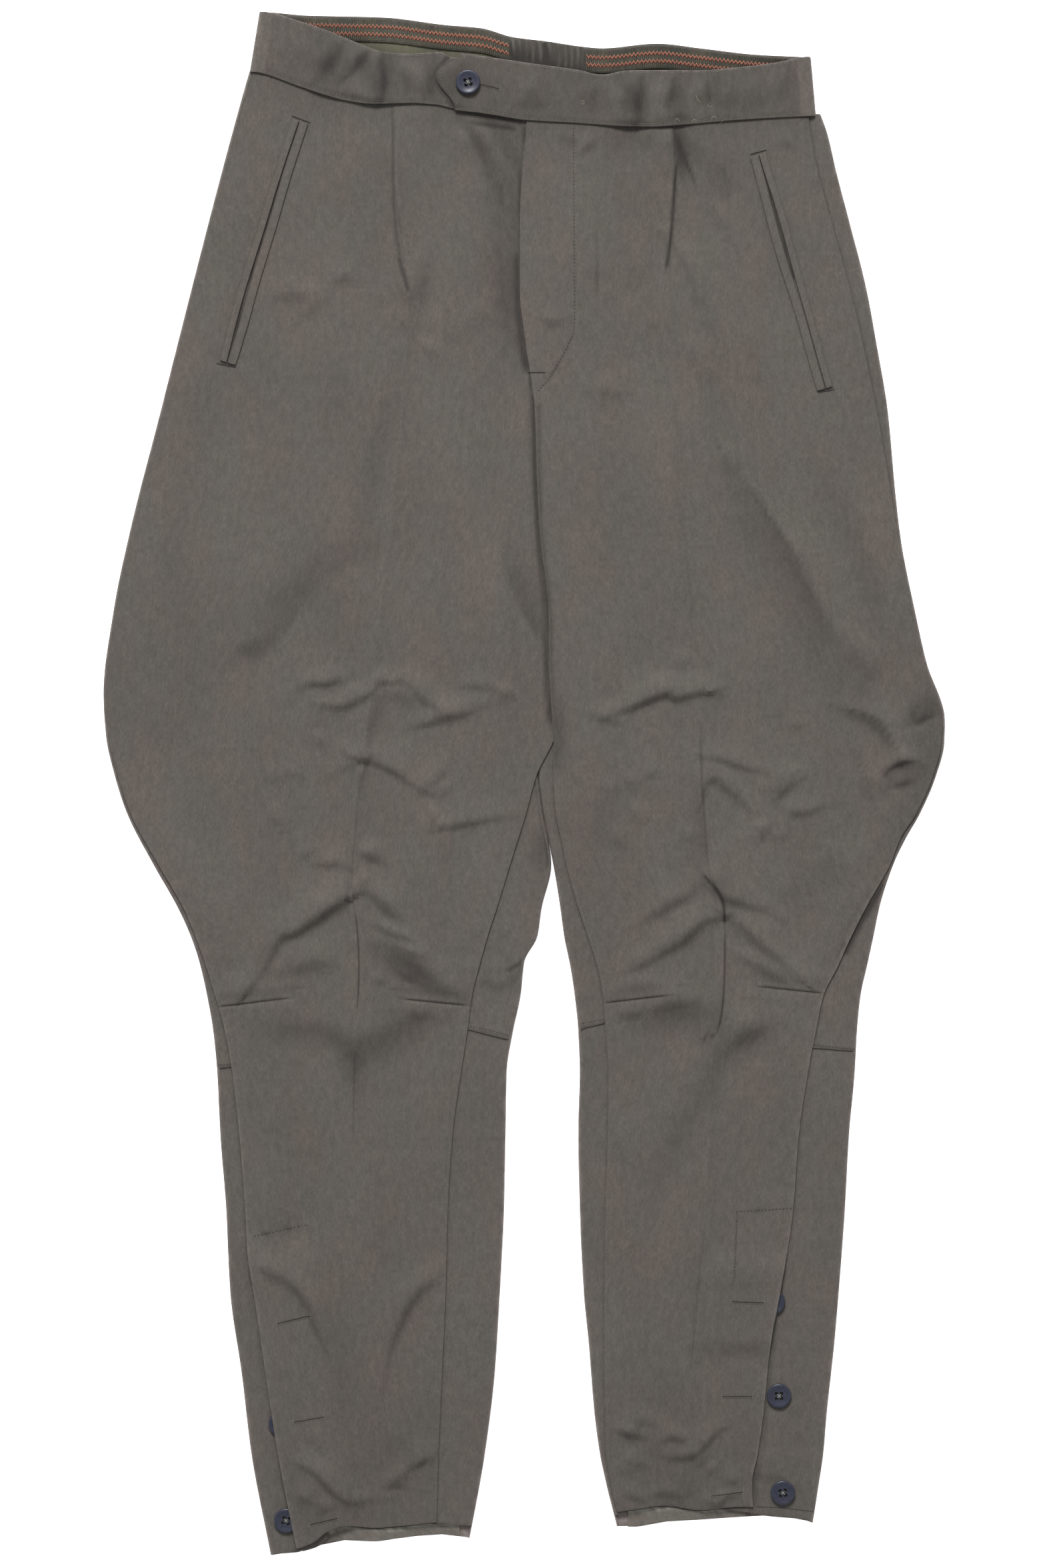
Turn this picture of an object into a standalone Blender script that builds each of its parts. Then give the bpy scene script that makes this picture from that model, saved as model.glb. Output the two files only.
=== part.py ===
"""Riding breeches laid flat on a surface, front side up.

Lengths here are millimetres. x runs across the garment from its centre line, positive
towards the wearer's left. drop runs down the garment from the top of the back waist.
z is the height of the middle of the cloth over the surface.
"""

from collections import namedtuple
from functools import lru_cache
from math import cos, exp, hypot, pi, sin

import bmesh
import bpy
from mathutils.bvhtree import BVHTree
from mathutils import Vector

MM = 0.001
LENGTH = 1102.0
CLOTH = 1.2
BAND = 1.4
LINING = 0.8
WELT = 1.0
CLEAR = 0.35
BUTTS = 0.5

# Heights of the middle of each layer.
GROUND_Z = CLOTH / 2
FOLD_RADIUS = 1.8
STRIP_Z = GROUND_Z + 2 * FOLD_RADIUS
FRONT_Z = STRIP_Z + CLOTH + CLEAR
FLY_Z = FRONT_Z + CLOTH + CLEAR
REST_Z = 3.7
LINING_Z = BAND + CLEAR + LINING / 2
TAPE_Z = LINING_Z + LINING + CLEAR

SEAM_LAP = 3.0
SEAM_ALLOWANCE = 7.0
UNDERLAP = 24.0
PLACKET_TOP = 866.0
WAIST_TUCK = 4.0
ROW_STEP = 22.5
TOP_FADE = 150.0
HEM_FADE = 90.0

BUTTON_RADIUS = 8.75
BUTTON_HOLE_RADIUS = 0.95
BUTTON_HOLE_PITCH = 1.75
BUTTON_STEPS = 12

Leg = namedtuple("Leg", "drop side_fold side_seam crease inseam inner_fold")
BandRow = namedtuple("BandRow", "x_top top x_bottom bottom z")
Hem = namedtuple("Hem", "x front strip back")
Fold = namedtuple("Fold", "x_from drop_from x_to drop_to width height")
Button = namedtuple("Button", "name x drop")

# The wearer's right leg, on the left as the garment lies.
RIGHT_LEG = (
    Leg(39, -195.0, -191.5, -92, 22, 15.6),
    Leg(58, -200.5, -197.5, -92, 22, 15.3),
    Leg(115, -216.0, -214.0, -92, 21, 14.6),
    Leg(200, -238.0, -236.0, -83, 19, 12.8),
    Leg(287, -260.0, -258.0, -87, 17, 11.0),
    Leg(372, -281.7, -279.8, -96, 20, 9.4),
    Leg(430, -293.6, -291.8, -103, 25, 8.2),
    Leg(487, -300.4, -298.4, -109, 27, 7.6),
    Leg(517, -298.6, -296.4, -113, 22, 7.8),
    Leg(545, -292.4, -290.0, -116, 9, 8.4),
    Leg(572, -283.6, -281.0, -119, 1.5, 12.0),
    Leg(609, -264.5, -261.0, -123, -10, 19.4),
    Leg(640, -247.0, -243.0, -125, -19.5, 12.5),
    Leg(660, -238.0, -234.5, -123, -26, 9.5),
    Leg(678, -232.0, -228.0, -121, -31, 0.2),
    Leg(702, -226.5, -220.5, -119, -37, -2.5),
    Leg(728, -222.0, -214.5, -121, -40.5, -8.0),
    Leg(757, -219.2, -210.5, -122.5, -45, -12.5),
    Leg(801, -217.0, -205.0, -122, -51, -13.3),
    Leg(858, -212.6, -198.6, -119, -54.5, -14.5),
    Leg(915, -209.8, -191.0, -114, -56, -17.4),
    Leg(972, -201.7, -182.0, -109, -58.5, -21.0),
    Leg(1029, -194.8, -173.4, -104, -61, -28.0),
    Leg(1100, -181.2, -161.5, -99, -63, -41.0),
)

# The wearer's left leg, on the right as the garment lies. Its side seam lies on the front.
LEFT_LEG = (
    Leg(60, 206.0, 201.0, 106, 3.0, 16.4),
    Leg(87, 216.4, 204.2, 106, 1.2, 16.0),
    Leg(115, 223.0, 209.5, 107, -1.4, 15.4),
    Leg(150, 232.2, 219.0, 104, -3.1, 14.8),
    Leg(200, 244.8, 232.6, 103, -3.1, 13.6),
    Leg(235, 251.2, 241.0, 106, 0.7, 12.9),
    Leg(285, 259.6, 251.4, 109, 7.5, 11.8),
    Leg(343, 265.0, 261.5, 113, 9.5, 10.6),
    Leg(377, 269.0, 267.0, 117, 11.5, 10.1),
    Leg(430, 279.5, 277.5, 123, 17.4, 9.0),
    Leg(465, 287.4, 285.4, 127, 17.6, 8.6),
    Leg(506, 300.4, 298.0, 126, 20.0, 8.6),
    Leg(522, 300.0, 297.4, 124.5, 20.8, 8.8),
    Leg(545, 294.2, 291.8, 125, 20.9, 9.9),
    Leg(572, 282.8, 280.0, 126.5, 22.5, 13.4),
    Leg(590, 272.5, 268.5, 129, 26.0, 17.0),
    Leg(609, 263.5, 259.5, 131.5, 30.0, 20.8),
    Leg(638, 254.0, 242.0, 141, 38.0, 25.5),
    Leg(660, 249.4, 226.5, 143.5, 45.2, 28.5),
    Leg(682, 244.6, 218.5, 143.5, 52.0, 33.0),
    Leg(702, 240.2, 213.0, 141.5, 56.0, 36.0),
    Leg(728, 237.6, 208.0, 135, 58.0, 38.6),
    Leg(757, 236.0, 202.5, 133, 60.0, 39.6),
    Leg(801, 232.0, 196.0, 132, 59.5, 38.6),
    Leg(858, 228.8, 191.5, 128.5, 57.8, 39.8),
    Leg(915, 224.5, 186.0, 123, 57.0, 42.6),
    Leg(950, 221.5, 177.0, 119.5, 57.0, 46.0),
    Leg(1001, 216.0, 170.6, 117.5, 57.5, 50.2),
    Leg(1029, 213.6, 166.6, 117, 58.5, 54.0),
    Leg(1050, 210.5, 162.5, 116.5, 61.5, 58.4),
    Leg(1082, 205.5, 164.5, 116, 69.5, 66.5),
)

# Stations of the two halves of the waistband, from its centre front round the side
# to the centre back. The side fold joins the last front row and the first back row.
RIGHT_BAND_FRONT = (
    BandRow(-10, 36, -8, 76.5, FRONT_Z + 1.65),
    BandRow(-52, 33.6, -50, 70.5, FRONT_Z + 1.65),
    BandRow(-60, 29.9, -62, 67.6, FRONT_Z + 1.65),
    BandRow(-82.6, 31.2, -82, 66.4, FRONT_Z + 2.2),
    BandRow(-100, 30.0, -106, 67.2, FRONT_Z + 3.2),
    BandRow(-120, 22.9, -128, 64.4, FRONT_Z + 1.9),
    BandRow(-138, 15.6, -143, 60.4, FRONT_Z + 2.8),
    BandRow(-156, 9.2, -160, 54.6, FRONT_Z + 1.8),
    BandRow(-184.8, 1.2, -191.8, 44.2, FRONT_Z + 1.65),
)
RIGHT_BAND_BACK = (
    BandRow(-184.8, 0.4, -191.8, 43.4, BAND / 2),
    BandRow(-156, 2.6, -157, 46.6, BAND / 2),
    BandRow(-101, 4.0, -102, 51.4, BAND / 2),
    BandRow(-56, 9.4, -56, 56.2, BAND / 2),
    BandRow(-31, 11.6, -31, 59.2, BAND / 2),
    BandRow(-8, 18.0, -8, 62.6, BAND / 2),
    BandRow(16.0, 21.0, 16.0, 66.0, BAND / 2),
)
LEFT_BAND_FRONT = (
    BandRow(-45, 31.2, -45, 71.6, FLY_Z + 1.65),
    BandRow(-20, 34.4, -20, 75.4, FLY_Z + 1.65),
    BandRow(0, 37.5, 0, 78.6, FLY_Z + 1.65),
    BandRow(38.8, 43.0, 38.8, 80.9, FLY_Z + 1.65),
    BandRow(55.5, 46.2, 58, 82.3, FLY_Z + 1.65),
    BandRow(72, 43.6, 74, 83.3, FLY_Z + 2.6),
    BandRow(88, 43.0, 90, 83.4, FLY_Z + 1.2),
    BandRow(106, 43.0, 106, 82.6, FLY_Z + 2.0),
    BandRow(122.6, 43.0, 122.6, 81.0, FRONT_Z + 1.65),
    BandRow(150.6, 41.0, 150.6, 78.6, FRONT_Z + 2.0),
    BandRow(178.6, 37.5, 178.6, 76.8, FRONT_Z + 1.65),
    BandRow(200.4, 33.2, 204.2, 75.6, FRONT_Z + 1.65),
)
LEFT_BAND_BACK = (
    BandRow(200.4, 32.4, 204.2, 75.0, BAND / 2),
    BandRow(164.5, 30.5, 164.5, 73.4, BAND / 2),
    BandRow(128, 26.3, 128, 71.8, BAND / 2),
    BandRow(94.7, 22.7, 94.7, 70.2, BAND / 2),
    BandRow(55.5, 26.0, 55.5, 68.2, BAND / 2),
    BandRow(43, 25.0, 43, 67.6, BAND / 2),
    BandRow(16.4, 21.0, 16.4, 66.2, BAND / 2),
)
BAND_FOLD_INSET = {"right": -3.4, "left": 3.4}
TAB_REACH = 17.0

RIGHT_HEM = (
    Hem(-180, 1098.0, 1101.4, 1101.4),
    Hem(-163, 1097.0, 1098.4, 1100.2),
    Hem(-150, 1092.5, 1096.0, 1097.0),
    Hem(-141, 1085.5, 1090.0, 1093.0),
    Hem(-129, 1081.4, 1082.0, 1091.4),
    Hem(-107, 1083.0, 1080.0, 1092.2),
    Hem(-86, 1081.4, 1080.0, 1089.4),
    Hem(-59, 1078.8, 1079.6, 1087.2),
    Hem(-38, 1078.8, 1080.4, 1089.6),
)
LEFT_HEM = (
    Hem(64, 1071.6, 1073.0, 1081.0),
    Hem(78, 1069.8, 1071.0, 1081.8),
    Hem(100, 1067.2, 1068.0, 1078.2),
    Hem(124, 1070.2, 1068.0, 1076.8),
    Hem(153, 1067.8, 1070.0, 1074.8),
    Hem(174, 1067.8, 1073.6, 1073.8),
    Hem(198, 1068.0, 1075.8, 1076.0),
    Hem(207, 1069.5, 1078.8, 1079.2),
)

# The line across the back of the knee where the thigh piece meets the calf piece.
KNEE_SEAM = {"right": ((-222, 754.5), (-8, 731.0)), "left": ((38, 725.0), (238, 742.0))}

# The largest folds of the two fronts: a ridge if height is positive, else a trough.
RIGHT_FOLDS = (
    Fold(-125, 632, -180, 668, 13, 7.0),
    Fold(-178, 664, -200, 704, 11, 4.5),
    Fold(-119, 628, -74, 672, 13, 6.0),
    Fold(-110, 655, -46, 690, 15, 4.0),
    Fold(-160, 498, -104, 478, 12, 3.6),
    Fold(-104, 478, -66, 500, 11, 3.2),
    Fold(-64, 512, -16, 494, 13, 4.2),
    Fold(-113, 534, -70, 556, 12, 4.0),
    Fold(-150, 610, -80, 606, 12, 2.8),
    Fold(-64, 582, -8, 572, 12, 2.4),
    Fold(-52, 78, -16, 232, 15, 3.6),
    Fold(-8, 330, -34, 420, 24, 3.0),
    Fold(-34, 420, -2, 520, 20, 3.0),
    Fold(-150, 860, -112, 985, 16, 2.6),
    Fold(-70, 850, -100, 930, 16, 2.4),
    Fold(-150, 1012, -116, 1058, 12, 2.6),
    Fold(-96, 1030, -40, 1000, 12, 2.0),
    Fold(-176, 300, -140, 560, 34, 2.2),
)
LEFT_FOLDS = (
    Fold(131, 612, 141, 640, 9, 5.0),
    Fold(141, 636, 143, 700, 9, 6.0),
    Fold(143, 700, 134, 736, 9, 4.0),
    Fold(140, 622, 184, 646, 13, 6.0),
    Fold(148, 650, 202, 696, 13, 4.6),
    Fold(132, 640, 92, 672, 14, 4.4),
    Fold(124, 628, 90, 646, 12, 3.2),
    Fold(70, 500, 126, 486, 12, 4.0),
    Fold(128, 532, 176, 548, 12, 4.0),
    Fold(128, 547, 180, 590, 14, 4.2),
    Fold(180, 566, 212, 536, 12, 2.6),
    Fold(252, 548, 284, 540, 9, 3.4),
    Fold(150, 330, 268, 528, 12, 2.6),
    Fold(104, 84, 118, 150, 9, 4.0),
    Fold(60, 320, 40, 520, 30, 2.2),
    Fold(136, 740, 122, 1000, 12, 1.8),
    Fold(110, 1010, 152, 1040, 12, 2.6),
    Fold(76, 1000, 100, 1040, 12, 2.2),
)

POCKETS = {
    "right": ((-160.2, 79.0), (-212.0, 251.0)),
    "left": ((167.1, 103.0), (215.0, 269.5)),
}
POCKET_WELT_WIDTH = 5.6
POCKET_SLIT = 0.9
POCKET_BOW = 2.6

WAIST_BUTTON = Button("button_waist", -40.0, 52.0)
CALF_BUTTONS = (
    Button("button_calf_right_top", -178.0, 933.0),
    Button("button_calf_right_middle", -173.6, 1007.5),
    Button("button_calf_right_bottom", -169.8, 1076.5),
    Button("button_calf_left_top", 177.4, 920.8),
    Button("button_calf_left_middle", 181.7, 987.6),
    Button("button_calf_left_bottom", 184.5, 1056.7),
)

Finish = namedtuple("Finish", "red green blue roughness")
FINISHES = {
    "gabardine": Finish(0.138, 0.124, 0.109, 0.85),
    "lining_cotton": Finish(0.085, 0.079, 0.053, 0.8),
    "waist_tape": Finish(0.105, 0.085, 0.055, 0.85),
    "button_plastic": Finish(0.050, 0.056, 0.080, 0.3),
}


def slopes_of(keys, values):
    """Slopes for a cubic through the points that never overshoots them."""
    steps = [(b - a) / (q - p) for a, b, p, q in zip(values, values[1:], keys, keys[1:])]
    inner = [0.0 if a * b <= 0 else 2 * a * b / (a + b) for a, b in zip(steps, steps[1:])]
    return [steps[0], *inner, steps[-1]]


def interpolate(keys, values, slopes, at):
    if at <= keys[0]:
        return values[0] + slopes[0] * (at - keys[0])
    if at >= keys[-1]:
        return values[-1] + slopes[-1] * (at - keys[-1])
    i = next(k for k in range(len(keys) - 1) if at <= keys[k + 1])
    span = keys[i + 1] - keys[i]
    t = (at - keys[i]) / span
    start = (1 + 2 * t) * (1 - t) ** 2 * values[i] + t * (1 - t) ** 2 * span * slopes[i]
    end = t * t * (3 - 2 * t) * values[i + 1] + t * t * (t - 1) * span * slopes[i + 1]
    return start + end


@lru_cache(maxsize=None)
def column_of(rows, key, value):
    ordered = sorted(rows, key=lambda row: getattr(row, key))
    keys = [getattr(row, key) for row in ordered]
    values = [getattr(row, value) for row in ordered]
    return keys, values, slopes_of(keys, values)


def read(rows, key, value, at):
    """The named column of a table at a place between its rows, on a smooth curve."""
    return interpolate(*column_of(rows, key, value), at)


def ease(t):
    t = min(1.0, max(0.0, t))
    return t * t * (3 - 2 * t)


def along(start, end, t):
    return start + (end - start) * t


def fold_height(fold, x, drop):
    """Height that one fold adds: a soft ridge, highest at its middle, dying out at its ends."""
    dx, dd = fold.x_to - fold.x_from, fold.drop_to - fold.drop_from
    length = hypot(dx, dd)
    t = ((x - fold.x_from) * dx + (drop - fold.drop_from) * dd) / length**2
    off = ((x - fold.x_from) * dd - (drop - fold.drop_from) * dx) / length
    past = max(0.0, -t, t - 1) * length
    crest = 0.55 + 0.45 * sin(pi * min(1.0, max(0.0, t)))
    return fold.height * crest * exp(-((off / fold.width) ** 2) - (past / fold.width) ** 2)


class Side:
    """One leg's tables under one name, with the direction in which its x grows outwards."""

    def __init__(self, name, legs, hems, band_front, band_back, folds, out, fly_top):
        self.name = name
        self.legs = legs
        self.hems = hems
        self.band_front = band_front
        self.band_back = band_back
        self.folds = folds
        self.out = out
        self.fly_top = fly_top

    def at(self, column, drop):
        return read(self.legs, "drop", column, drop)

    def hem(self, column, x):
        low, high = self.hems[0].x, self.hems[-1].x
        return read(self.hems, "x", column, min(high, max(low, x)))

    def waist(self, x, rows):
        """Lower edge of the waistband over or beside a point of the waist."""
        ordered = sorted(rows, key=lambda row: row.x_bottom)
        x = min(ordered[-1].x_bottom, max(ordered[0].x_bottom, x))
        for a, b in zip(ordered, ordered[1:]):
            if x <= b.x_bottom:
                return along(a.bottom, b.bottom, (x - a.x_bottom) / (b.x_bottom - a.x_bottom))

    def knee(self, x):
        (x_from, drop_from), (x_to, drop_to) = KNEE_SEAM[self.name]
        return along(drop_from, drop_to, (x - x_from) / (x_to - x_from))

    def underlap(self, drop):
        """How far the back reaches in under the front at the side seam."""
        return SEAM_LAP + (UNDERLAP - SEAM_LAP) * ease((drop - PLACKET_TOP) / 30)

    def inner_turn(self, drop):
        """Where the back's flat part ends and its wrap over the inner edge begins."""
        return self.at("inner_fold", drop) + self.out * (CLOTH / 2 + FOLD_RADIUS)

    def inner_end(self, drop):
        """Where the back's top strip ends: under the front, or a seam allowance wide."""
        turn = self.inner_turn(drop)
        seam = self.at("inseam", drop) + self.out * SEAM_LAP
        return turn + self.out * max(SEAM_ALLOWANCE, self.out * (seam - turn))


def front_height(side, x, drop):
    """Height of the middle of a front panel: held up by the seams, resting between them."""
    from_side = side.out * (side.at("side_seam", drop) - x)
    from_inner = side.out * (x - side.at("inseam", drop))
    held_inner = side.out * (side.inner_end(drop) - side.at("inseam", drop))
    sag = ease((from_side - 12 - side.underlap(drop)) / 26) * ease((from_inner - 9 - held_inner) / 26)
    waist_hold = 1 - ease((drop - 100) / 60)
    base = FRONT_Z - (FRONT_Z - REST_Z) * sag * (1 - waist_hold)
    if side.fly_top:
        # The left front lies over the right one from the waist to where the legs part.
        over = (1 - ease((x - 46) / 34)) * (1 - ease((drop - 560) / 40))
        base = base + (FLY_Z - base) * over
    base += placket_lift(side, from_side, drop)
    creased = 1.6 * exp(-((x - side.at("crease", drop)) / 5) ** 2) * ease((drop - 60) / 80)
    inside = side.out * (side.at("crease", drop) - x)
    pleated = 1.8 * ease((inside + 2.5) / 2.5) * exp(-max(0.0, inside) / 30)
    pleated *= (1 - ease((drop - 130) / 90)) * ease((drop - side.waist(x, side.band_front)) / 12)
    covered = 26 if drop < 545 and not side.fly_top else 0
    quiet = ease(from_side / 20) * ease((from_inner - covered) / 20)
    quiet *= ease((drop - 84) / 24) * ease((1062 - drop) / 20)
    raised = sum(fold_height(fold, x, drop) for fold in side.folds)
    return base + creased + pleated + quiet * raised


def placket_lift(side, from_side, drop):
    """The front's side edge rides over the calf buttons that it covers."""
    top, bottom = (896, 1100) if side.name == "right" else (898, 930)
    reach = 1 - ease((from_side - 40) / 24)
    spread = 24 if side.name == "right" else 16
    return 2.8 * reach * ease((drop - top + spread) / spread) * ease((bottom + 2 * spread - drop) / spread)


def bands_over(side, x):
    """Top of a front: tucked under the waistband, but clear of the band's fold at the side."""
    from_side = side.out * (side.legs[0].side_seam - x)
    return side.waist(x, side.band_front) - along(-0.6, WAIST_TUCK, ease((from_side - 4) / 10))


def front_columns(width_out, width_in):
    """Places across a front, as (part, distance from its outer edge), closer at its edges."""
    outer = [0, 4, 9] + [along(9, width_out - 2.5, k / 5) for k in range(1, 6)] + [width_out]
    inner = [along(0, width_in - 9, k / 5) for k in range(1, 6)] + [width_in - 4, width_in]
    return [("outer", d) for d in outer] + [("inner", d) for d in inner]


def front_point(side, part, share, drop):
    seam, crease, inseam = (side.at(c, drop) for c in ("side_seam", "crease", "inseam"))
    return along(seam, crease, share) if part == "outer" else along(crease, inseam, share)


def front_place(side, column, row, rows):
    """A point of a front panel. Its top follows the waistband and its foot the hem."""
    nominal_top, nominal_hem = side.legs[0].drop, 1081.0 if side.name == "right" else 1069.0
    drop = along(nominal_top, nominal_hem, row / rows)
    for _ in range(3):
        width_out = abs(side.at("crease", drop) - side.at("side_seam", drop))
        width_in = abs(side.at("inseam", drop) - side.at("crease", drop))
        part, distance = front_columns(width_out, width_in)[column]
        share = distance / (width_out if part == "outer" else width_in)
        x = front_point(side, part, share, drop)
        nominal = along(nominal_top, nominal_hem, row / rows)
        lift = bands_over(side, x) - nominal_top
        reach = side.hem("front", x) - nominal_hem
        drop = nominal + lift * (1 - ease((nominal - nominal_top) / TOP_FADE))
        drop += reach * ease(1 - (nominal_hem - nominal) / HEM_FADE)
    return x, drop, front_height(side, x, drop)


# Places round a back piece: where it is, how far along that stretch, and its fold angle.
BACK_SECTION = (
    [("side_strip", 1.0, pi)]
    + [("side_fold", 0.0, pi * t / 3) for t in (3, 2, 1)]
    + [("ground", t / 4, 0.0) for t in range(5)]
    + [("inner_fold", 0.0, pi * t / 3) for t in (1, 2, 3)]
    + [("inner_strip", 1.0, pi)]
)


def back_section(side, stretch, t, angle, drop):
    """x, z of a point round the back piece of a leg, which wraps up over both its edges."""
    out, half = side.out, CLOTH / 2
    side_x = side.at("side_fold", drop) - out * (half + FOLD_RADIUS)
    inner_x = side.inner_turn(drop)
    if stretch == "ground":
        return along(side_x, inner_x, t), GROUND_Z
    if stretch.endswith("fold"):
        centre, way = (side_x, out) if stretch == "side_fold" else (inner_x, -out)
        return centre + way * FOLD_RADIUS * sin(angle), GROUND_Z + FOLD_RADIUS * (1 - cos(angle))
    if stretch == "side_strip":
        seam_x = side.at("side_seam", drop) - out * side.underlap(drop)
        end = side_x - out * max(3.0, out * (side_x - seam_x))
        return along(side_x, end, t), STRIP_Z
    return along(inner_x, side.inner_end(drop), t), STRIP_Z


def back_place(side, index, row, rows, piece):
    """A point of the thigh piece or the calf piece of a back."""
    stretch, t, angle = BACK_SECTION[index]
    on_top = stretch.endswith("strip") or angle > pi / 2
    legs = side.legs
    middle = sum(p[1] for p in KNEE_SEAM[side.name]) / 2
    start, end = (legs[0].drop, middle) if piece == "thigh" else (middle, legs[-1].drop)
    nominal = along(start, end, row / rows)
    drop = nominal
    for _ in range(3):
        x, z = back_section(side, stretch, t, angle, drop)
        if piece == "thigh":
            waist_rows = side.band_front if on_top else side.band_back
            first, last = side.waist(x, waist_rows) + BUTTS, side.knee(x) - BUTTS / 2
        else:
            first, last = side.knee(x) + BUTTS / 2, side.hem("strip" if on_top else "back", x)
        fade_first, fade_last = 1 - ease((nominal - start) / TOP_FADE), ease(1 - (end - nominal) / HEM_FADE)
        drop = nominal + (first - start) * fade_first + (last - end) * fade_last
    x, z = back_section(side, stretch, t, angle, drop)
    return x, drop, z


def band_stations(front, back, out):
    """Rows of a waistband half in order: centre front, round the side fold, centre back."""
    radius = (front[-1].z - back[0].z) / 2
    middle = (front[-1].z + back[0].z) / 2
    turn = []
    for angle in (pi * 0.25, pi * 0.5, pi * 0.75):
        across = out * radius * sin(angle)
        t = angle / pi
        turn.append(
            BandRow(
                front[-1].x_top + across,
                along(front[-1].top, back[0].top, t),
                front[-1].x_bottom + across,
                along(front[-1].bottom, back[0].bottom, t),
                middle + radius * cos(angle),
            )
        )
    return [*front, *turn, *back]


def between_rows(rows):
    """The rows with one more between each two that lie far apart on the same layer."""
    full = []
    for a, b in zip(rows, rows[1:]):
        full.append(a)
        if abs(a.x_top - b.x_top) > 24:
            full.append(BandRow(*[(p + q) / 2 for p, q in zip(a, b)]))
    return [*full, rows[-1]]


def tab_offset(side, station, share):
    """The left band ends in a blunt point past its last row; the right one ends straight."""
    if side.name == "right" or station > 0:
        return 0.0
    rise = ease(share / 0.34) if share < 0.34 else ease((1 - share) / 0.56)
    return -TAB_REACH * rise - 4.5 * share * (1 - rise)


def world(x, drop, z):
    return Vector((x * MM, (LENGTH / 2 - drop) * MM, z * MM))


def material_named(name):
    found = bpy.data.materials.get(name)
    if found:
        return found
    finish = FINISHES[name]
    made = bpy.data.materials.new(name)
    made.use_nodes = True
    shader = made.node_tree.nodes["Principled BSDF"]
    shader.inputs["Base Color"].default_value = (finish.red, finish.green, finish.blue, 1)
    shader.inputs["Roughness"].default_value = finish.roughness
    shader.inputs["Metallic"].default_value = 0.0
    return made


def add_object(name, mesh, material, collection):
    obj = bpy.data.objects.new(name, mesh)
    obj.data.materials.clear()
    obj.data.materials.append(material_named(material))
    collection.objects.link(obj)
    return obj


def cloth_sheet(name, columns, rows, place, thickness, material, collection):
    """A grid bent to place(column, row) and given its thickness, half to each side."""
    bm = bmesh.new()
    bmesh.ops.create_grid(bm, x_segments=columns, y_segments=rows, size=1)
    for vert in bm.verts:
        column = round((vert.co.x + 1) / 2 * columns)
        row = round((1 - vert.co.y) / 2 * rows)
        vert.co = world(*place(column, row))
    mesh = bpy.data.meshes.new(name)
    bm.to_mesh(mesh)
    bm.free()
    mesh.shade_smooth()
    obj = add_object(name, mesh, material, collection)
    wall = obj.modifiers.new("wall", "SOLIDIFY")
    wall.thickness = thickness * MM
    wall.offset = 0
    wall.use_even_offset = True
    return obj


def make_fronts(sides, collection):
    fronts = {}
    for side in sides:
        rows = round((1075 - side.legs[0].drop) / ROW_STEP)
        fronts[side.name] = cloth_sheet(
            f"front_{side.name}",
            len(front_columns(100, 100)) - 1,
            rows,
            lambda column, row, side=side, rows=rows: front_place(side, column, row, rows),
            CLOTH,
            "gabardine",
            collection,
        )
    return fronts


def make_backs(sides, collection):
    for side in sides:
        for piece, rows in (("thigh", 26), ("calf", 13)):
            cloth_sheet(
                f"back_{piece}_{side.name}",
                len(BACK_SECTION) - 1,
                rows,
                lambda index, row, side=side, rows=rows, piece=piece: back_place(
                    side, index, row, rows, piece
                ),
                CLOTH,
                "gabardine",
                collection,
            )


def make_waistbands(sides, collection):
    cross_rows = 4
    for side in sides:
        stations = band_stations(
            between_rows(side.band_front), between_rows(side.band_back), side.out
        )

        def place(column, row, side=side, stations=stations):
            here, share = stations[column], row / cross_rows
            x = along(here.x_top, here.x_bottom, share) + tab_offset(side, column, share)
            return x, along(here.top, here.bottom, share), here.z

        cloth_sheet(
            f"waistband_{side.name}",
            len(stations) - 1,
            cross_rows,
            place,
            BAND,
            "gabardine",
            collection,
        )


InsideStrip = namedtuple("InsideStrip", "name side x_from x_to below depth z thickness material")


def make_waist_inside(sides, collection):
    """What shows inside the open waist: tape over lining, and self cloth at the centre back."""
    by_name = {side.name: side for side in sides}
    strips = (
        InsideStrip("waist_lining_right", "right", -172, -12, 12, 27, LINING_Z, LINING, "lining_cotton"),
        InsideStrip("waist_lining_left", "left", 46, 184, 12, 27, LINING_Z, LINING, "lining_cotton"),
        InsideStrip("waist_tape_right", "right", -176, -9.6, 2.2, 16, TAPE_Z, LINING, "waist_tape"),
        InsideStrip("waist_tape_left", "left", 43.6, 188, 2.2, 16, TAPE_Z, LINING, "waist_tape"),
        InsideStrip("centre_back_facing_right", "right", -9, 15.8, 1.2, 38, LINING_Z + 0.1, CLOTH, "gabardine"),
        InsideStrip("centre_back_facing_left", "left", 16.5, 43, 1.2, 38, LINING_Z + 0.1, CLOTH, "gabardine"),
    )
    for strip in strips:
        rows = by_name[strip.side].band_back
        columns = max(2, round(abs(strip.x_to - strip.x_from) / 12))

        def place(column, row, strip=strip, rows=rows, columns=columns):
            x = along(strip.x_from, strip.x_to, column / columns)
            top = read(rows, "x_top", "top", x) + strip.below
            return x, top + strip.depth * row / 2, strip.z

        cloth_sheet(
            strip.name, columns, 2, place, strip.thickness, strip.material, collection
        )


def make_hem_facings(sides, collection):
    """The turned-up hem of each back, which shows below the shorter front."""
    spans = {"right": (-158, -46), "left": (74, 158)}
    facing, depth = 0.9, 17.0
    for side in sides:
        x_from, x_to = spans[side.name]
        columns = 10

        def place(column, row, side=side, x_from=x_from, x_to=x_to, columns=columns):
            x = along(x_from, x_to, column / columns)
            foot = side.hem("back", x) - 0.9
            return x, foot - depth * (2 - row) / 2, CLOTH + CLEAR + facing / 2

        cloth_sheet(
            f"hem_facing_{side.name}", columns, 2, place, facing, "gabardine", collection
        )


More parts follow.
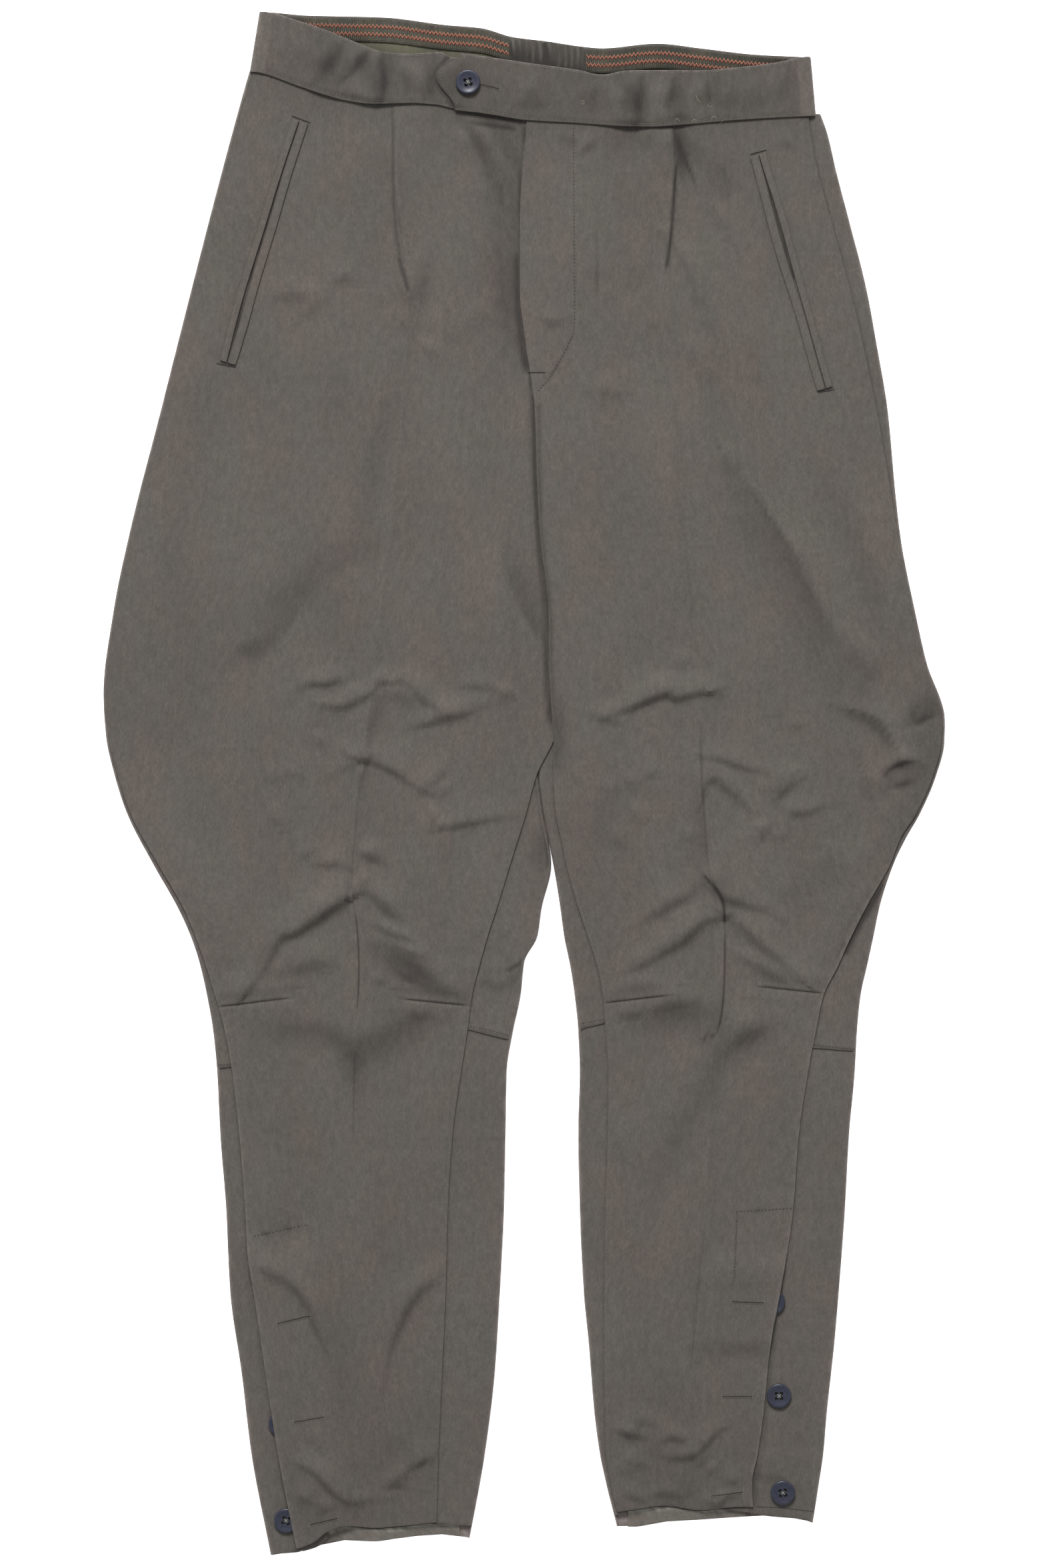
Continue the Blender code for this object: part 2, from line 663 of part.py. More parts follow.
def height_over(tree, x, drop):
    """Height in millimetres of the top of a piece, straight below a point over it."""
    start = world(x, drop, 60)
    hit = tree.ray_cast(start, Vector((0, 0, -1)))[0]
    return hit.z / MM


def tree_of(obj):
    graph = bpy.context.evaluated_depsgraph_get()
    return BVHTree.FromObject(obj, graph)


def make_pocket_welts(fronts, collection):
    """Each slanted pocket has two narrow welts that meet at its slit."""
    for name, ((x_top, drop_top), (x_foot, drop_foot)) in POCKETS.items():
        tree = tree_of(fronts[name])
        length = hypot(x_foot - x_top, drop_foot - drop_top)
        across = (-(drop_foot - drop_top) / length, (x_foot - x_top) / length)
        out = -1 if name == "right" else 1
        for welt, way in (("front", -out), ("side", out)):
            near, far = POCKET_SLIT / 2, POCKET_SLIT / 2 + POCKET_WELT_WIDTH
            rows = 12

            def place(column, row, way=way, near=near, far=far, out=out, rows=rows):
                t = row / rows
                offset = -way * along(near, far, column / 2)
                bow = out * POCKET_BOW * sin(pi * t)
                x = along(x_top, x_foot, t) + across[0] * offset + bow
                drop = along(drop_top, drop_foot, t) + across[1] * offset
                return x, drop, height_over(tree, x, drop) + CLEAR + WELT / 2

            cloth_sheet(
                f"pocket_{name}_{welt}_welt", 2, rows, place, WELT, "gabardine", collection
            )


def button_mesh(cutters):
    """A turned four-hole button with a raised rim, standing on the plane z = 0."""
    profile = (
        (0, 1.5), (4.6, 1.5), (6.2, 2.4), (7.9, 2.1), (BUTTON_RADIUS, 1.1), (7.2, 0), (0, 0)
    )
    bm = bmesh.new()
    verts = [bm.verts.new((radius * MM, 0, z * MM)) for radius, z in profile]
    for first, second in zip(verts, verts[1:]):
        bm.edges.new((first, second))
    mesh = bpy.data.meshes.new("button_profile")
    bm.to_mesh(mesh)
    bm.free()
    turned = bpy.data.objects.new("button_turned", mesh)
    cutters.objects.link(turned)
    screw = turned.modifiers.new("turn", "SCREW")
    screw.steps = screw.render_steps = BUTTON_STEPS
    screw.use_merge_vertices = True
    screw.merge_threshold = 0.00005
    holes = bmesh.new()
    for across in (-1, 1):
        for up in (-1, 1):
            made = bmesh.ops.create_cone(
                holes,
                cap_ends=True,
                segments=6,
                radius1=BUTTON_HOLE_RADIUS * MM,
                radius2=BUTTON_HOLE_RADIUS * MM,
                depth=8 * MM,
            )
            shift = Vector((across, up, 0)) * BUTTON_HOLE_PITCH * MM
            bmesh.ops.translate(holes, verts=made["verts"], vec=shift)
    hole_mesh = bpy.data.meshes.new("button_holes")
    holes.to_mesh(hole_mesh)
    holes.free()
    cutter = bpy.data.objects.new("button_hole_cutter", hole_mesh)
    cutters.objects.link(cutter)
    cut = turned.modifiers.new("holes", "BOOLEAN")
    cut.operation = "DIFFERENCE"
    cut.object = cutter
    graph = bpy.context.evaluated_depsgraph_get()
    finished = bpy.data.meshes.new_from_object(turned.evaluated_get(graph))
    for helper in (turned, cutter):
        bpy.data.objects.remove(helper)
    finished.name = "button"
    return finished


def make_buttons(sides, collection, cutters):
    mesh = button_mesh(cutters)
    tab_z = FLY_Z + 1.65 + BAND / 2 + CLEAR
    strip_z = STRIP_Z + CLOTH / 2 + CLEAR
    for button in (WAIST_BUTTON, *CALF_BUTTONS):
        z = tab_z if button is WAIST_BUTTON else strip_z
        obj = add_object(button.name, mesh.copy(), "button_plastic", collection)
        obj.location = world(button.x, button.drop, z)
        obj.data.set_sharp_from_angle(angle=0.7)


def clear_scene():
    for obj in list(bpy.data.objects):
        bpy.data.objects.remove(obj)


def new_collection(name, hidden=False):
    collection = bpy.data.collections.new(name)
    collection.hide_render = hidden
    bpy.context.scene.collection.children.link(collection)
    return collection


def main():
    clear_scene()
    parts = new_collection("breeches")
    cutters = new_collection("cutters", hidden=True)
    sides = (
        Side("right", RIGHT_LEG, RIGHT_HEM, RIGHT_BAND_FRONT, RIGHT_BAND_BACK, RIGHT_FOLDS, -1, False),
        Side("left", LEFT_LEG, LEFT_HEM, LEFT_BAND_FRONT, LEFT_BAND_BACK, LEFT_FOLDS, 1, True),
    )
    make_backs(sides, parts)
    make_waist_inside(sides, parts)
    make_hem_facings(sides, parts)
    fronts = make_fronts(sides, parts)
    make_pocket_welts(fronts, parts)
    make_waistbands(sides, parts)
    make_buttons(sides, parts, cutters)


main()
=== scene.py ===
from collections import namedtuple
from math import cos, hypot, pi, radians, sin

import bpy
import numpy as np
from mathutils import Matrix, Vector, noise
from mathutils.bvhtree import BVHTree


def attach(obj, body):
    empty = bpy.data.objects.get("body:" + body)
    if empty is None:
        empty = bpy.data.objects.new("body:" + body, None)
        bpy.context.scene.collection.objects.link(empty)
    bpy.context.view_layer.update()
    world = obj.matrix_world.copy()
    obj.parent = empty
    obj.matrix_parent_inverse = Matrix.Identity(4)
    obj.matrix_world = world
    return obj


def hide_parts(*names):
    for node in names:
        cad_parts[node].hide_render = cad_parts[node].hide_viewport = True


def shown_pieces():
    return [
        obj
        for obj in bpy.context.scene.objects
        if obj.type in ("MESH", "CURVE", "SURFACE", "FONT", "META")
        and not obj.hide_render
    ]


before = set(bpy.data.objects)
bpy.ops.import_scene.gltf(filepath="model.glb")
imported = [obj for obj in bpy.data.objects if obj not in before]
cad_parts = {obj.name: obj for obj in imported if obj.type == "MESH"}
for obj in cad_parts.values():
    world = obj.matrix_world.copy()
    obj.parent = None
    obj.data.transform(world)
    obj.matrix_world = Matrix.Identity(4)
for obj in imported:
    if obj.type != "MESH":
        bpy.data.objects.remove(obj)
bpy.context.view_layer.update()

# Sizes are millimetres until a mesh is made. x runs across the garment, positive towards the
# wearer's left. drop runs down it from the top of the back waist. z is height over the floor.
MM = 0.001
LENGTH = 1102.0
CLOTH = 1.2
BAND = 1.4
LINING = 0.8
WELT = 1.0
CLEAR = 0.35

GROUND_Z = CLOTH / 2
FOLD_RADIUS = 1.8
STRIP_Z = GROUND_Z + 2 * FOLD_RADIUS
FRONT_Z = STRIP_Z + CLOTH + CLEAR
FLY_Z = FRONT_Z + CLOTH + CLEAR
REST_Z = 3.7
LINING_Z = BAND + CLEAR + LINING / 2
TAPE_Z = LINING_Z + LINING + CLEAR
LOWEST_FRONT_Z = 2.3
HEM_REST_Z = 3.15

SEAM_LAP = 3.0
SEAM_ALLOWANCE = 7.0
UNDERLAP = 24.0
PLACKET_TOP = 866.0
WAIST_TUCK = 4.0
TOP_FADE = 150.0
HEM_FADE = 90.0
CROTCH = 545
CREASE_HEIGHT = 1.3
CREASE_WIDTH = 4.5
PLEAT_HEIGHT = 1.8
PLEAT_WIDTH = 30

Leg = namedtuple("Leg", "drop side_fold side_seam crease inseam inner_fold")
BandRow = namedtuple("BandRow", "x_top top x_bottom bottom z")
Hem = namedtuple("Hem", "x front strip back")
# In a Fold and in a Line, dark is painted shade along the path.
Fold = namedtuple("Fold", "points height soft steep dark peak start end", defaults=(0.2, 0.5, 0.1, 0.1))
Dart = namedtuple("Dart", "x_from drop_from x_to drop_to")
Line = namedtuple("Line", "points depth half_width dark")

# The wearer's right leg, on the left as the garment lies.
RIGHT_LEG = (
    Leg(39, -195.0, -191.5, -92, 22, 15.6),
    Leg(58, -200.5, -197.5, -92, 22, 15.3),
    Leg(115, -216.0, -214.0, -92, 21, 14.6),
    Leg(200, -238.0, -236.0, -83, 19, 12.8),
    Leg(287, -260.0, -258.0, -87, 17, 11.0),
    Leg(372, -281.7, -279.8, -96, 20, 9.4),
    Leg(430, -293.6, -291.8, -103, 25, 8.2),
    Leg(487, -300.4, -298.4, -109, 27, 7.6),
    Leg(517, -298.6, -296.4, -113, 22, 7.8),
    Leg(545, -292.4, -290.0, -116, 9, 9.9),
    Leg(572, -283.6, -281.0, -119, 1.5, 13.4),
    Leg(609, -264.5, -261.0, -123, -10, 19.4),
    Leg(640, -247.0, -243.0, -121.6, -19.5, 12.5),
    Leg(660, -238.0, -234.5, -118.8, -26, 9.5),
    Leg(678, -232.0, -228.0, -118, -31, 0.2),
    Leg(702, -226.5, -220.5, -118.4, -37, -2.5),
    Leg(728, -222.0, -213.4, -120.4, -40.5, -8.0),
    Leg(757, -219.2, -208.2, -122.5, -45, -12.5),
    Leg(801, -217.0, -203.2, -122, -51, -13.3),
    Leg(858, -212.6, -198.8, -119, -54.5, -14.5),
    Leg(886, -211.4, -197.2, -116.7, -55.2, -15.8),
    Leg(915, -209.8, -192.6, -114, -56, -17.4),
    Leg(972, -201.7, -184.2, -109, -58.5, -21.0),
    Leg(1029, -194.8, -175.4, -104, -61, -28.0),
    Leg(1100, -181.2, -161.5, -99, -63, -41.0),
)

# The wearer's left leg, on the right as the garment lies. Its side seam lies on the front.
LEFT_LEG = (
    Leg(60, 206.0, 201.0, 106, 3.0, 16.4),
    Leg(87, 216.4, 204.2, 106, 1.2, 16.0),
    Leg(115, 223.0, 209.5, 107, -1.4, 15.4),
    Leg(150, 232.2, 219.0, 104, -3.1, 14.8),
    Leg(200, 244.8, 232.6, 103, -3.1, 13.6),
    Leg(235, 251.2, 241.0, 106, 0.7, 12.9),
    Leg(285, 259.6, 251.4, 109, 7.5, 11.8),
    Leg(343, 265.0, 261.5, 113, 9.5, 10.6),
    Leg(377, 269.0, 267.0, 117, 11.5, 10.1),
    Leg(430, 279.5, 277.5, 123, 17.4, 9.0),
    Leg(465, 287.4, 285.4, 127, 17.6, 8.6),
    Leg(506, 300.4, 298.0, 126, 20.0, 8.6),
    Leg(522, 300.0, 297.4, 124.5, 20.8, 8.8),
    Leg(545, 294.2, 291.8, 125, 20.9, 9.9),
    Leg(572, 282.8, 280.0, 126.5, 22.5, 13.4),
    Leg(590, 272.5, 268.5, 129, 26.0, 17.0),
    Leg(609, 263.5, 261.0, 131.5, 30.0, 20.8),
    Leg(638, 254.0, 244.6, 141.6, 38.0, 25.5),
    Leg(660, 249.4, 233.4, 143.4, 45.2, 28.5),
    Leg(682, 244.6, 223.4, 143, 52.0, 33.0),
    Leg(702, 240.2, 213.6, 142.4, 56.0, 36.0),
    Leg(728, 237.6, 208.0, 138, 58.0, 38.6),
    Leg(757, 236.0, 202.5, 133, 60.0, 39.6),
    Leg(801, 232.0, 196.0, 132, 59.5, 38.6),
    Leg(858, 228.8, 191.5, 128.5, 57.8, 39.8),
    Leg(915, 224.5, 182.2, 123, 57.0, 42.6),
    Leg(950, 221.5, 175.8, 119.5, 57.0, 46.0),
    Leg(1001, 216.0, 170.6, 117.5, 57.5, 50.2),
    Leg(1029, 213.6, 166.6, 117, 58.5, 54.0),
    Leg(1050, 210.5, 162.5, 116.5, 61.5, 58.4),
    Leg(1082, 205.5, 164.5, 116, 69.5, 66.5),
)

# Stations of the two halves of the waistband, from its centre front round the side
# to the centre back. The side fold joins the last front row and the first back row.
RIGHT_BAND_FRONT = (
    BandRow(-10, 36, -8, 76.5, FRONT_Z + 1.65),
    BandRow(-52, 33.6, -50, 70.5, FRONT_Z + 1.65),
    BandRow(-60, 29.9, -62, 67.6, FRONT_Z + 1.65),
    BandRow(-82.6, 31.2, -82, 66.4, FRONT_Z + 2.2),
    BandRow(-100, 30.0, -106, 67.2, FRONT_Z + 3.2),
    BandRow(-120, 22.9, -128, 64.4, FRONT_Z + 1.9),
    BandRow(-138, 15.6, -143, 60.4, FRONT_Z + 2.8),
    BandRow(-156, 9.2, -160, 54.6, FRONT_Z + 1.8),
    BandRow(-184.8, 1.2, -191.8, 44.2, FRONT_Z + 1.65),
)
RIGHT_BAND_BACK = (
    BandRow(-184.8, 0.4, -191.8, 43.4, BAND / 2),
    BandRow(-156, 2.6, -157, 46.6, BAND / 2),
    BandRow(-101, 4.0, -102, 51.4, BAND / 2),
    BandRow(-56, 9.4, -56, 56.2, BAND / 2),
    BandRow(-31, 11.6, -31, 59.2, BAND / 2),
    BandRow(-8, 18.0, -8, 62.6, BAND / 2),
    BandRow(16.2, 21.0, 16.2, 66.1, BAND / 2),
)
LEFT_BAND_FRONT = (
    BandRow(-45, 31.2, -45, 71.6, FLY_Z + 1.65),
    BandRow(-20, 34.4, -20, 75.4, FLY_Z + 1.65),
    BandRow(0, 37.5, 0, 78.6, FLY_Z + 1.65),
    BandRow(38.8, 43.0, 38.8, 80.9, FLY_Z + 1.65),
    BandRow(55.5, 46.2, 58, 82.3, FLY_Z + 1.65),
    BandRow(72, 43.6, 74, 83.3, FLY_Z + 2.6),
    BandRow(88, 43.0, 90, 83.4, FLY_Z + 1.2),
    BandRow(106, 43.0, 106, 82.6, FLY_Z + 2.0),
    BandRow(122.6, 43.0, 122.6, 81.0, FRONT_Z + 1.65),
    BandRow(150.6, 41.0, 150.6, 78.6, FRONT_Z + 2.0),
    BandRow(178.6, 37.5, 178.6, 76.8, FRONT_Z + 1.65),
    BandRow(200.4, 33.2, 204.2, 75.6, FRONT_Z + 1.65),
)
LEFT_BAND_BACK = (
    BandRow(200.4, 32.4, 204.2, 75.0, BAND / 2),
    BandRow(164.5, 30.5, 164.5, 73.4, BAND / 2),
    BandRow(128, 26.3, 128, 71.8, BAND / 2),
    BandRow(94.7, 22.7, 94.7, 70.2, BAND / 2),
    BandRow(55.5, 26.0, 55.5, 68.2, BAND / 2),
    BandRow(43, 25.0, 43, 67.6, BAND / 2),
    BandRow(16.2, 21.0, 16.2, 66.1, BAND / 2),
)
TAB_REACH = 17.0
TAB_BEND = 12.5

RIGHT_HEM = (
    Hem(-180, 1097, 1101.4, 1101.4),
    Hem(-163, 1096, 1098.4, 1100.2),
    Hem(-150, 1091.5, 1096.0, 1097.0),
    Hem(-141, 1084.5, 1090.0, 1093.0),
    Hem(-129, 1080.4, 1082.0, 1091.4),
    Hem(-107, 1082, 1080.0, 1092.2),
    Hem(-86, 1080.4, 1080.0, 1089.4),
    Hem(-59, 1077.8, 1079.6, 1087.2),
    Hem(-38, 1077.8, 1080.4, 1089.6),
)
LEFT_HEM = (
    Hem(64, 1070.6, 1073.0, 1081.0),
    Hem(78, 1068.8, 1071.0, 1081.8),
    Hem(100, 1066.2, 1068.0, 1078.2),
    Hem(124, 1069.2, 1068.0, 1076.8),
    Hem(153, 1066.8, 1070.0, 1074.8),
    Hem(174, 1066.8, 1073.6, 1073.8),
    Hem(198, 1067, 1075.8, 1076.0),
    Hem(207, 1068.5, 1078.8, 1079.2),
)

KNEE_SEAM = {"right": ((-222, 754.5), (-8, 733.2)), "left": ((38, 726.4), (238, 742.0))}
INNER_KNEE_SEAM = {"right": ((-41.2, 726.1), (-10.2, 734.1)), "left": ((40, 726.0), (56, 722.2))}

# Folds, each along its darkest line. A path that runs from left to right is steep below, one that
# runs down the garment is steep on its left side as it lies, and one that runs up on its right side.
# The dark column of each fold paints shade along that line.
RIGHT_FOLDS = (
    Fold(((-198, 700), (-190, 689), (-184, 680), (-178, 669), (-172, 661), (-163, 658), (-152, 651),
          (-142, 644), (-135, 639), (-128.5, 635.5)), 6.2, 17, 4.8, 0.52, 0.84, 0.3, 0.6),
    Fold(((-127, 633), (-126, 622), (-124.5, 606)), 2.6, 9, 3, 0.3, 0.1, 0.8, 0.1),
    Fold(((-122, 627), (-114, 629), (-108, 631.5), (-102, 637), (-96, 644), (-88, 649), (-78, 655)),
         3.4, 12, 5.0, 0.3, 0.45, 0.12),
    Fold(((-118, 648), (-108, 652), (-97, 657), (-88, 660), (-80, 664), (-73, 668)), 3.0, 7, 3.0, 0.26, 0.7),
    Fold(((-104, 665), (-95, 668), (-87, 674), (-79, 681), (-70, 688), (-55, 698)), 3.4, 13, 8, 0.34, 0.4),
    Fold(((-110, 690), (-103, 693), (-96, 694)), 1.4, 8, 5, 0.2),
    Fold(((-182, 691), (-165, 685), (-150, 681), (-139, 681), (-128, 684)), 3.0, 15, 8, 0.26, 0.5),
    Fold(((-156, 606), (-146, 609), (-135, 609), (-124, 605)), 2.2, 9, 3.2, 0.16, 0.7),
    Fold(((-120, 599), (-112, 603), (-105, 606), (-98, 609)), 3.0, 10, 4.6, 0.3, 0.4),
    Fold(((-164, 488), (-157, 482), (-150, 480), (-143, 481), (-136, 479), (-130, 477), (-123, 474)),
         3.6, 11, 3.0, 0.32, 0.6),
    Fold(((-143, 482), (-148, 490), (-153, 499), (-158, 513), (-163, 527)), 1.8, 9, 4, 0.18, 0.2, 0.5),
    Fold(((-150, 527), (-144, 522), (-139, 516)), 1.6, 9, 5, 0.16),
    Fold(((-143, 496), (-133, 497), (-126, 496), (-119, 492), (-112, 489), (-107, 485), (-102, 479)),
         3.6, 9, 3.4, 0.28, 0.4, 0.3, 0.5),
    Fold(((-99, 479), (-92, 479), (-86, 478), (-81, 482), (-76, 488), (-68, 495), (-62, 497), (-56, 501)),
         3.6, 10, 3.0, 0.32, 0.6, 0.5),
    Fold(((-102, 494), (-93, 489), (-85, 492), (-79, 500), (-73, 506)), 2.4, 9, 6, 0.22, 0.4),
    Fold(((-114, 537), (-112, 524), (-108, 508), (-102, 492)), 2.2, 10, 7, 0.24, 0.7, 0.3, 0.8),
    Fold(((-67, 508), (-58, 505), (-48, 503), (-38, 500), (-28, 496), (-18, 491)),
         4.2, 12, 4.6, 0.42, 0.2, 0.6),
    Fold(((-52, 484), (-38, 482), (-25, 484), (-13, 488)), 1.6, 8, 3, 0.16),
    Fold(((-16, 494), (-11, 488), (-6, 481)), 1.6, 8, 5, 0.25),
    Fold(((-116, 534), (-106, 537), (-97, 541), (-88, 546), (-80, 552), (-71, 557)),
         3.0, 13, 2.4, 0.2, 0.4, 0.7, 0.5),
    Fold(((-73, 557), (-66, 551), (-60, 546), (-51, 535)), 2.2, 9, 2.6, 0.16, 0.5, 0.4, 0.2),
    Fold(((-142, 546), (-132, 542), (-122, 538), (-115, 535)), 2.2, 11, 4.4, 0.16, 0.9, 0.1, 0.8),
    Fold(((-116, 562), (-116, 550), (-113, 539)), 1.4, 8, 3.4, 0.14, 0.8),
    Fold(((-73, 561), (-69, 571), (-65, 579), (-58, 583)), 1.6, 9, 3.0, 0.16, 0.6, 0.2, 0.4),
    Fold(((-62, 584), (-52, 582), (-40, 580), (-25, 577), (-12, 576), (-2, 575)),
         2.4, 13, 2.6, 0.22, 0.3, 0.4, 0.4),
    Fold(((-60, 584), (-61, 602), (-62, 624)), 1.4, 8, 4, 0.14, 0.1, 0.8),
    Fold(((-59, 566), (-54, 556), (-49, 546)), 1.2, 6, 3, 0.1),
    Fold(((-190, 536), (-184, 545), (-180, 556)), 1.0, 7, 3, 0.12),
    Fold(((-187, 562), (-184, 570), (-183, 584)), 0.8, 7, 3, 0.1),
    Fold(((-172, 540), (-164, 546), (-158, 548)), 1.2, 8, 3, 0.12),
    Fold(((-178, 589), (-168, 575), (-165, 562)), 1.0, 9, 4, 0.1),
    Fold(((-162, 604), (-152, 601), (-145, 596)), 1.2, 8, 3, 0.12),
    Fold(((-212, 457), (-198, 455), (-180, 447)), 1.6, 16, 9, 0.18),
    Fold(((-139, 199), (-134, 194), (-127, 191), (-118, 194)), 2.0, 9, 3, 0.2),
    Fold(((-190, 212), (-176, 205), (-160, 203), (-140, 199)), 1.8, 12, 5, 0.14),
    Fold(((-160, 222), (-146, 208), (-136, 202)), 1.4, 10, 5, 0.12),
    Fold(((-83, 225), (-100, 290), (-112, 340), (-149, 405)), 3.2, 34, 13, 0.12),
    Fold(((-139, 372), (-148, 391), (-170, 421)), 1.8, 20, 8, 0.12),
    Fold(((-185, 899), (-168, 907), (-155, 922), (-146, 944), (-137, 968), (-134, 990)),
         4.0, 11, 4.2, 0.34, 0.35, 0.6),
    Fold(((-101, 985), (-96, 958), (-88, 936), (-75, 914), (-57, 902)), 3.8, 13, 4.6, 0.34, 0.7, 0.2, 0.5),
    Fold(((-176, 1034), (-160, 1037), (-149, 1043), (-141, 1051), (-134, 1058), (-122, 1064), (-92, 1060)),
         3.0, 11, 3.6, 0.3, 0.4),
    Fold(((-170, 1059), (-158, 1061), (-146, 1066)), 1.6, 7, 3, 0.2),
    Fold(((-160, 1012), (-150, 1020), (-143, 1030)), 1.2, 9, 4, 0.12),
    Fold(((-86, 1043), (-74, 1036), (-64, 1032), (-50, 1031), (-35, 1032)), 3.4, 11, 3.4, 0.36, 0.4, 0.3),
    Fold(((-104, 1056), (-92, 1052), (-80, 1054)), 2.0, 7, 3.4, 0.24),
    Fold(((-100, 1052), (-88, 1047), (-76, 1045)), 1.6, 9, 4, 0.14),
    Fold(((-76, 222), (-72, 205), (-70, 187), (-65, 160)), 2.6, 14, 8, 0.22, 0.35, 0.3),
    Fold(((-80, 232), (-82, 216), (-83, 200)), 1.4, 8, 4, 0.2),
    Fold(((-10, 216), (-14, 203), (-18, 184), (-21, 152), (-24, 126), (-30, 102), (-39, 82)),
         1.6, 15, 9, 0.2, 0.3, 0.7, 0.5),
    Fold(((-26, 112), (-33, 93), (-41.5, 80), (-50, 71)), 2.2, 9, 4.5, 0.42, 0.5, 0.3, 0.8),
    Fold(((-12, 106), (-16, 99), (-24.5, 89), (-38, 76)), 1.8, 7, 4, 0.4, 0.5, 0.3, 0.7),
    Fold(((-104, 1006), (-96, 1020), (-94, 1036)), 1.0, 7, 4, 0.08),
    Fold(((-150, 1074), (-140, 1068), (-130, 1066)), 1.4, 6, 3, 0.2),
    Fold(((-44, 244), (-52, 220), (-60, 190)), 1.4, 12, 6, 0.12),
    Fold(((-4, 212), (-14, 198), (-29, 181)), 1.6, 6, 4, 0.22, 0.3, 0.7),
    Fold(((-7, 198), (-18, 176), (-34, 142)), 1.4, 7, 4, 0.18, 0.3, 0.7),
    Fold(((0, 238), (-16, 232), (-34, 236)), 1.2, 7, 4, 0.14, 0.3, 0.6),
    Fold(((-122, 626), (-114, 621), (-106, 622)), 1.6, 5, 3, 0.2),
    Fold(((-136, 616), (-128, 612), (-120, 614)), 1.2, 5, 3, 0.16),
    Fold(((-90, 664), (-80, 672), (-66, 676)), 1.6, 5, 3, 0.2),
    Fold(((-96, 682), (-84, 690), (-72, 694)), 1.4, 5, 3, 0.18),
    Fold(((2, 252), (-3, 238), (-12, 222), (-22, 216)), 2.2, 10, 5, 0.2, 0.3, 0.7),
    Fold(((-9, 194), (-34, 212), (-58, 227)), 2.2, 11, 5, 0.2, 0.4),
    Fold(((-3, 224), (-27, 249), (-46, 279)), 1.8, 14, 8, 0.14, 0.4),
    Fold(((-78, 236), (-66, 246), (-60, 262)), 1.6, 8, 4, 0.16, 0.4),
    Fold(((-8, 330), (-28, 392), (-34, 430), (-20, 480), (-2, 520)), 3.0, 26, 18, 0.1),
    Fold(((-176, 300), (-160, 430), (-140, 560)), 2.0, 34, 26, 0.05),
    Fold(((-215, 330), (-232, 420), (-240, 500)), 1.8, 26, 18, 0.08),
    Fold(((-96, 760), (-104, 820), (-100, 880)), 1.2, 16, 10, 0.08),
    Fold(((-86, 719), (-76, 717), (-64, 719)), 1.6, 9, 6, 0.16),
    Fold(((-150, 84), (-163, 120), (-178, 170)), 1.4, 14, 8, 0.1),
    Fold(((-55, 300), (-62, 360), (-60, 420)), 1.2, 16, 10, 0.06),
)
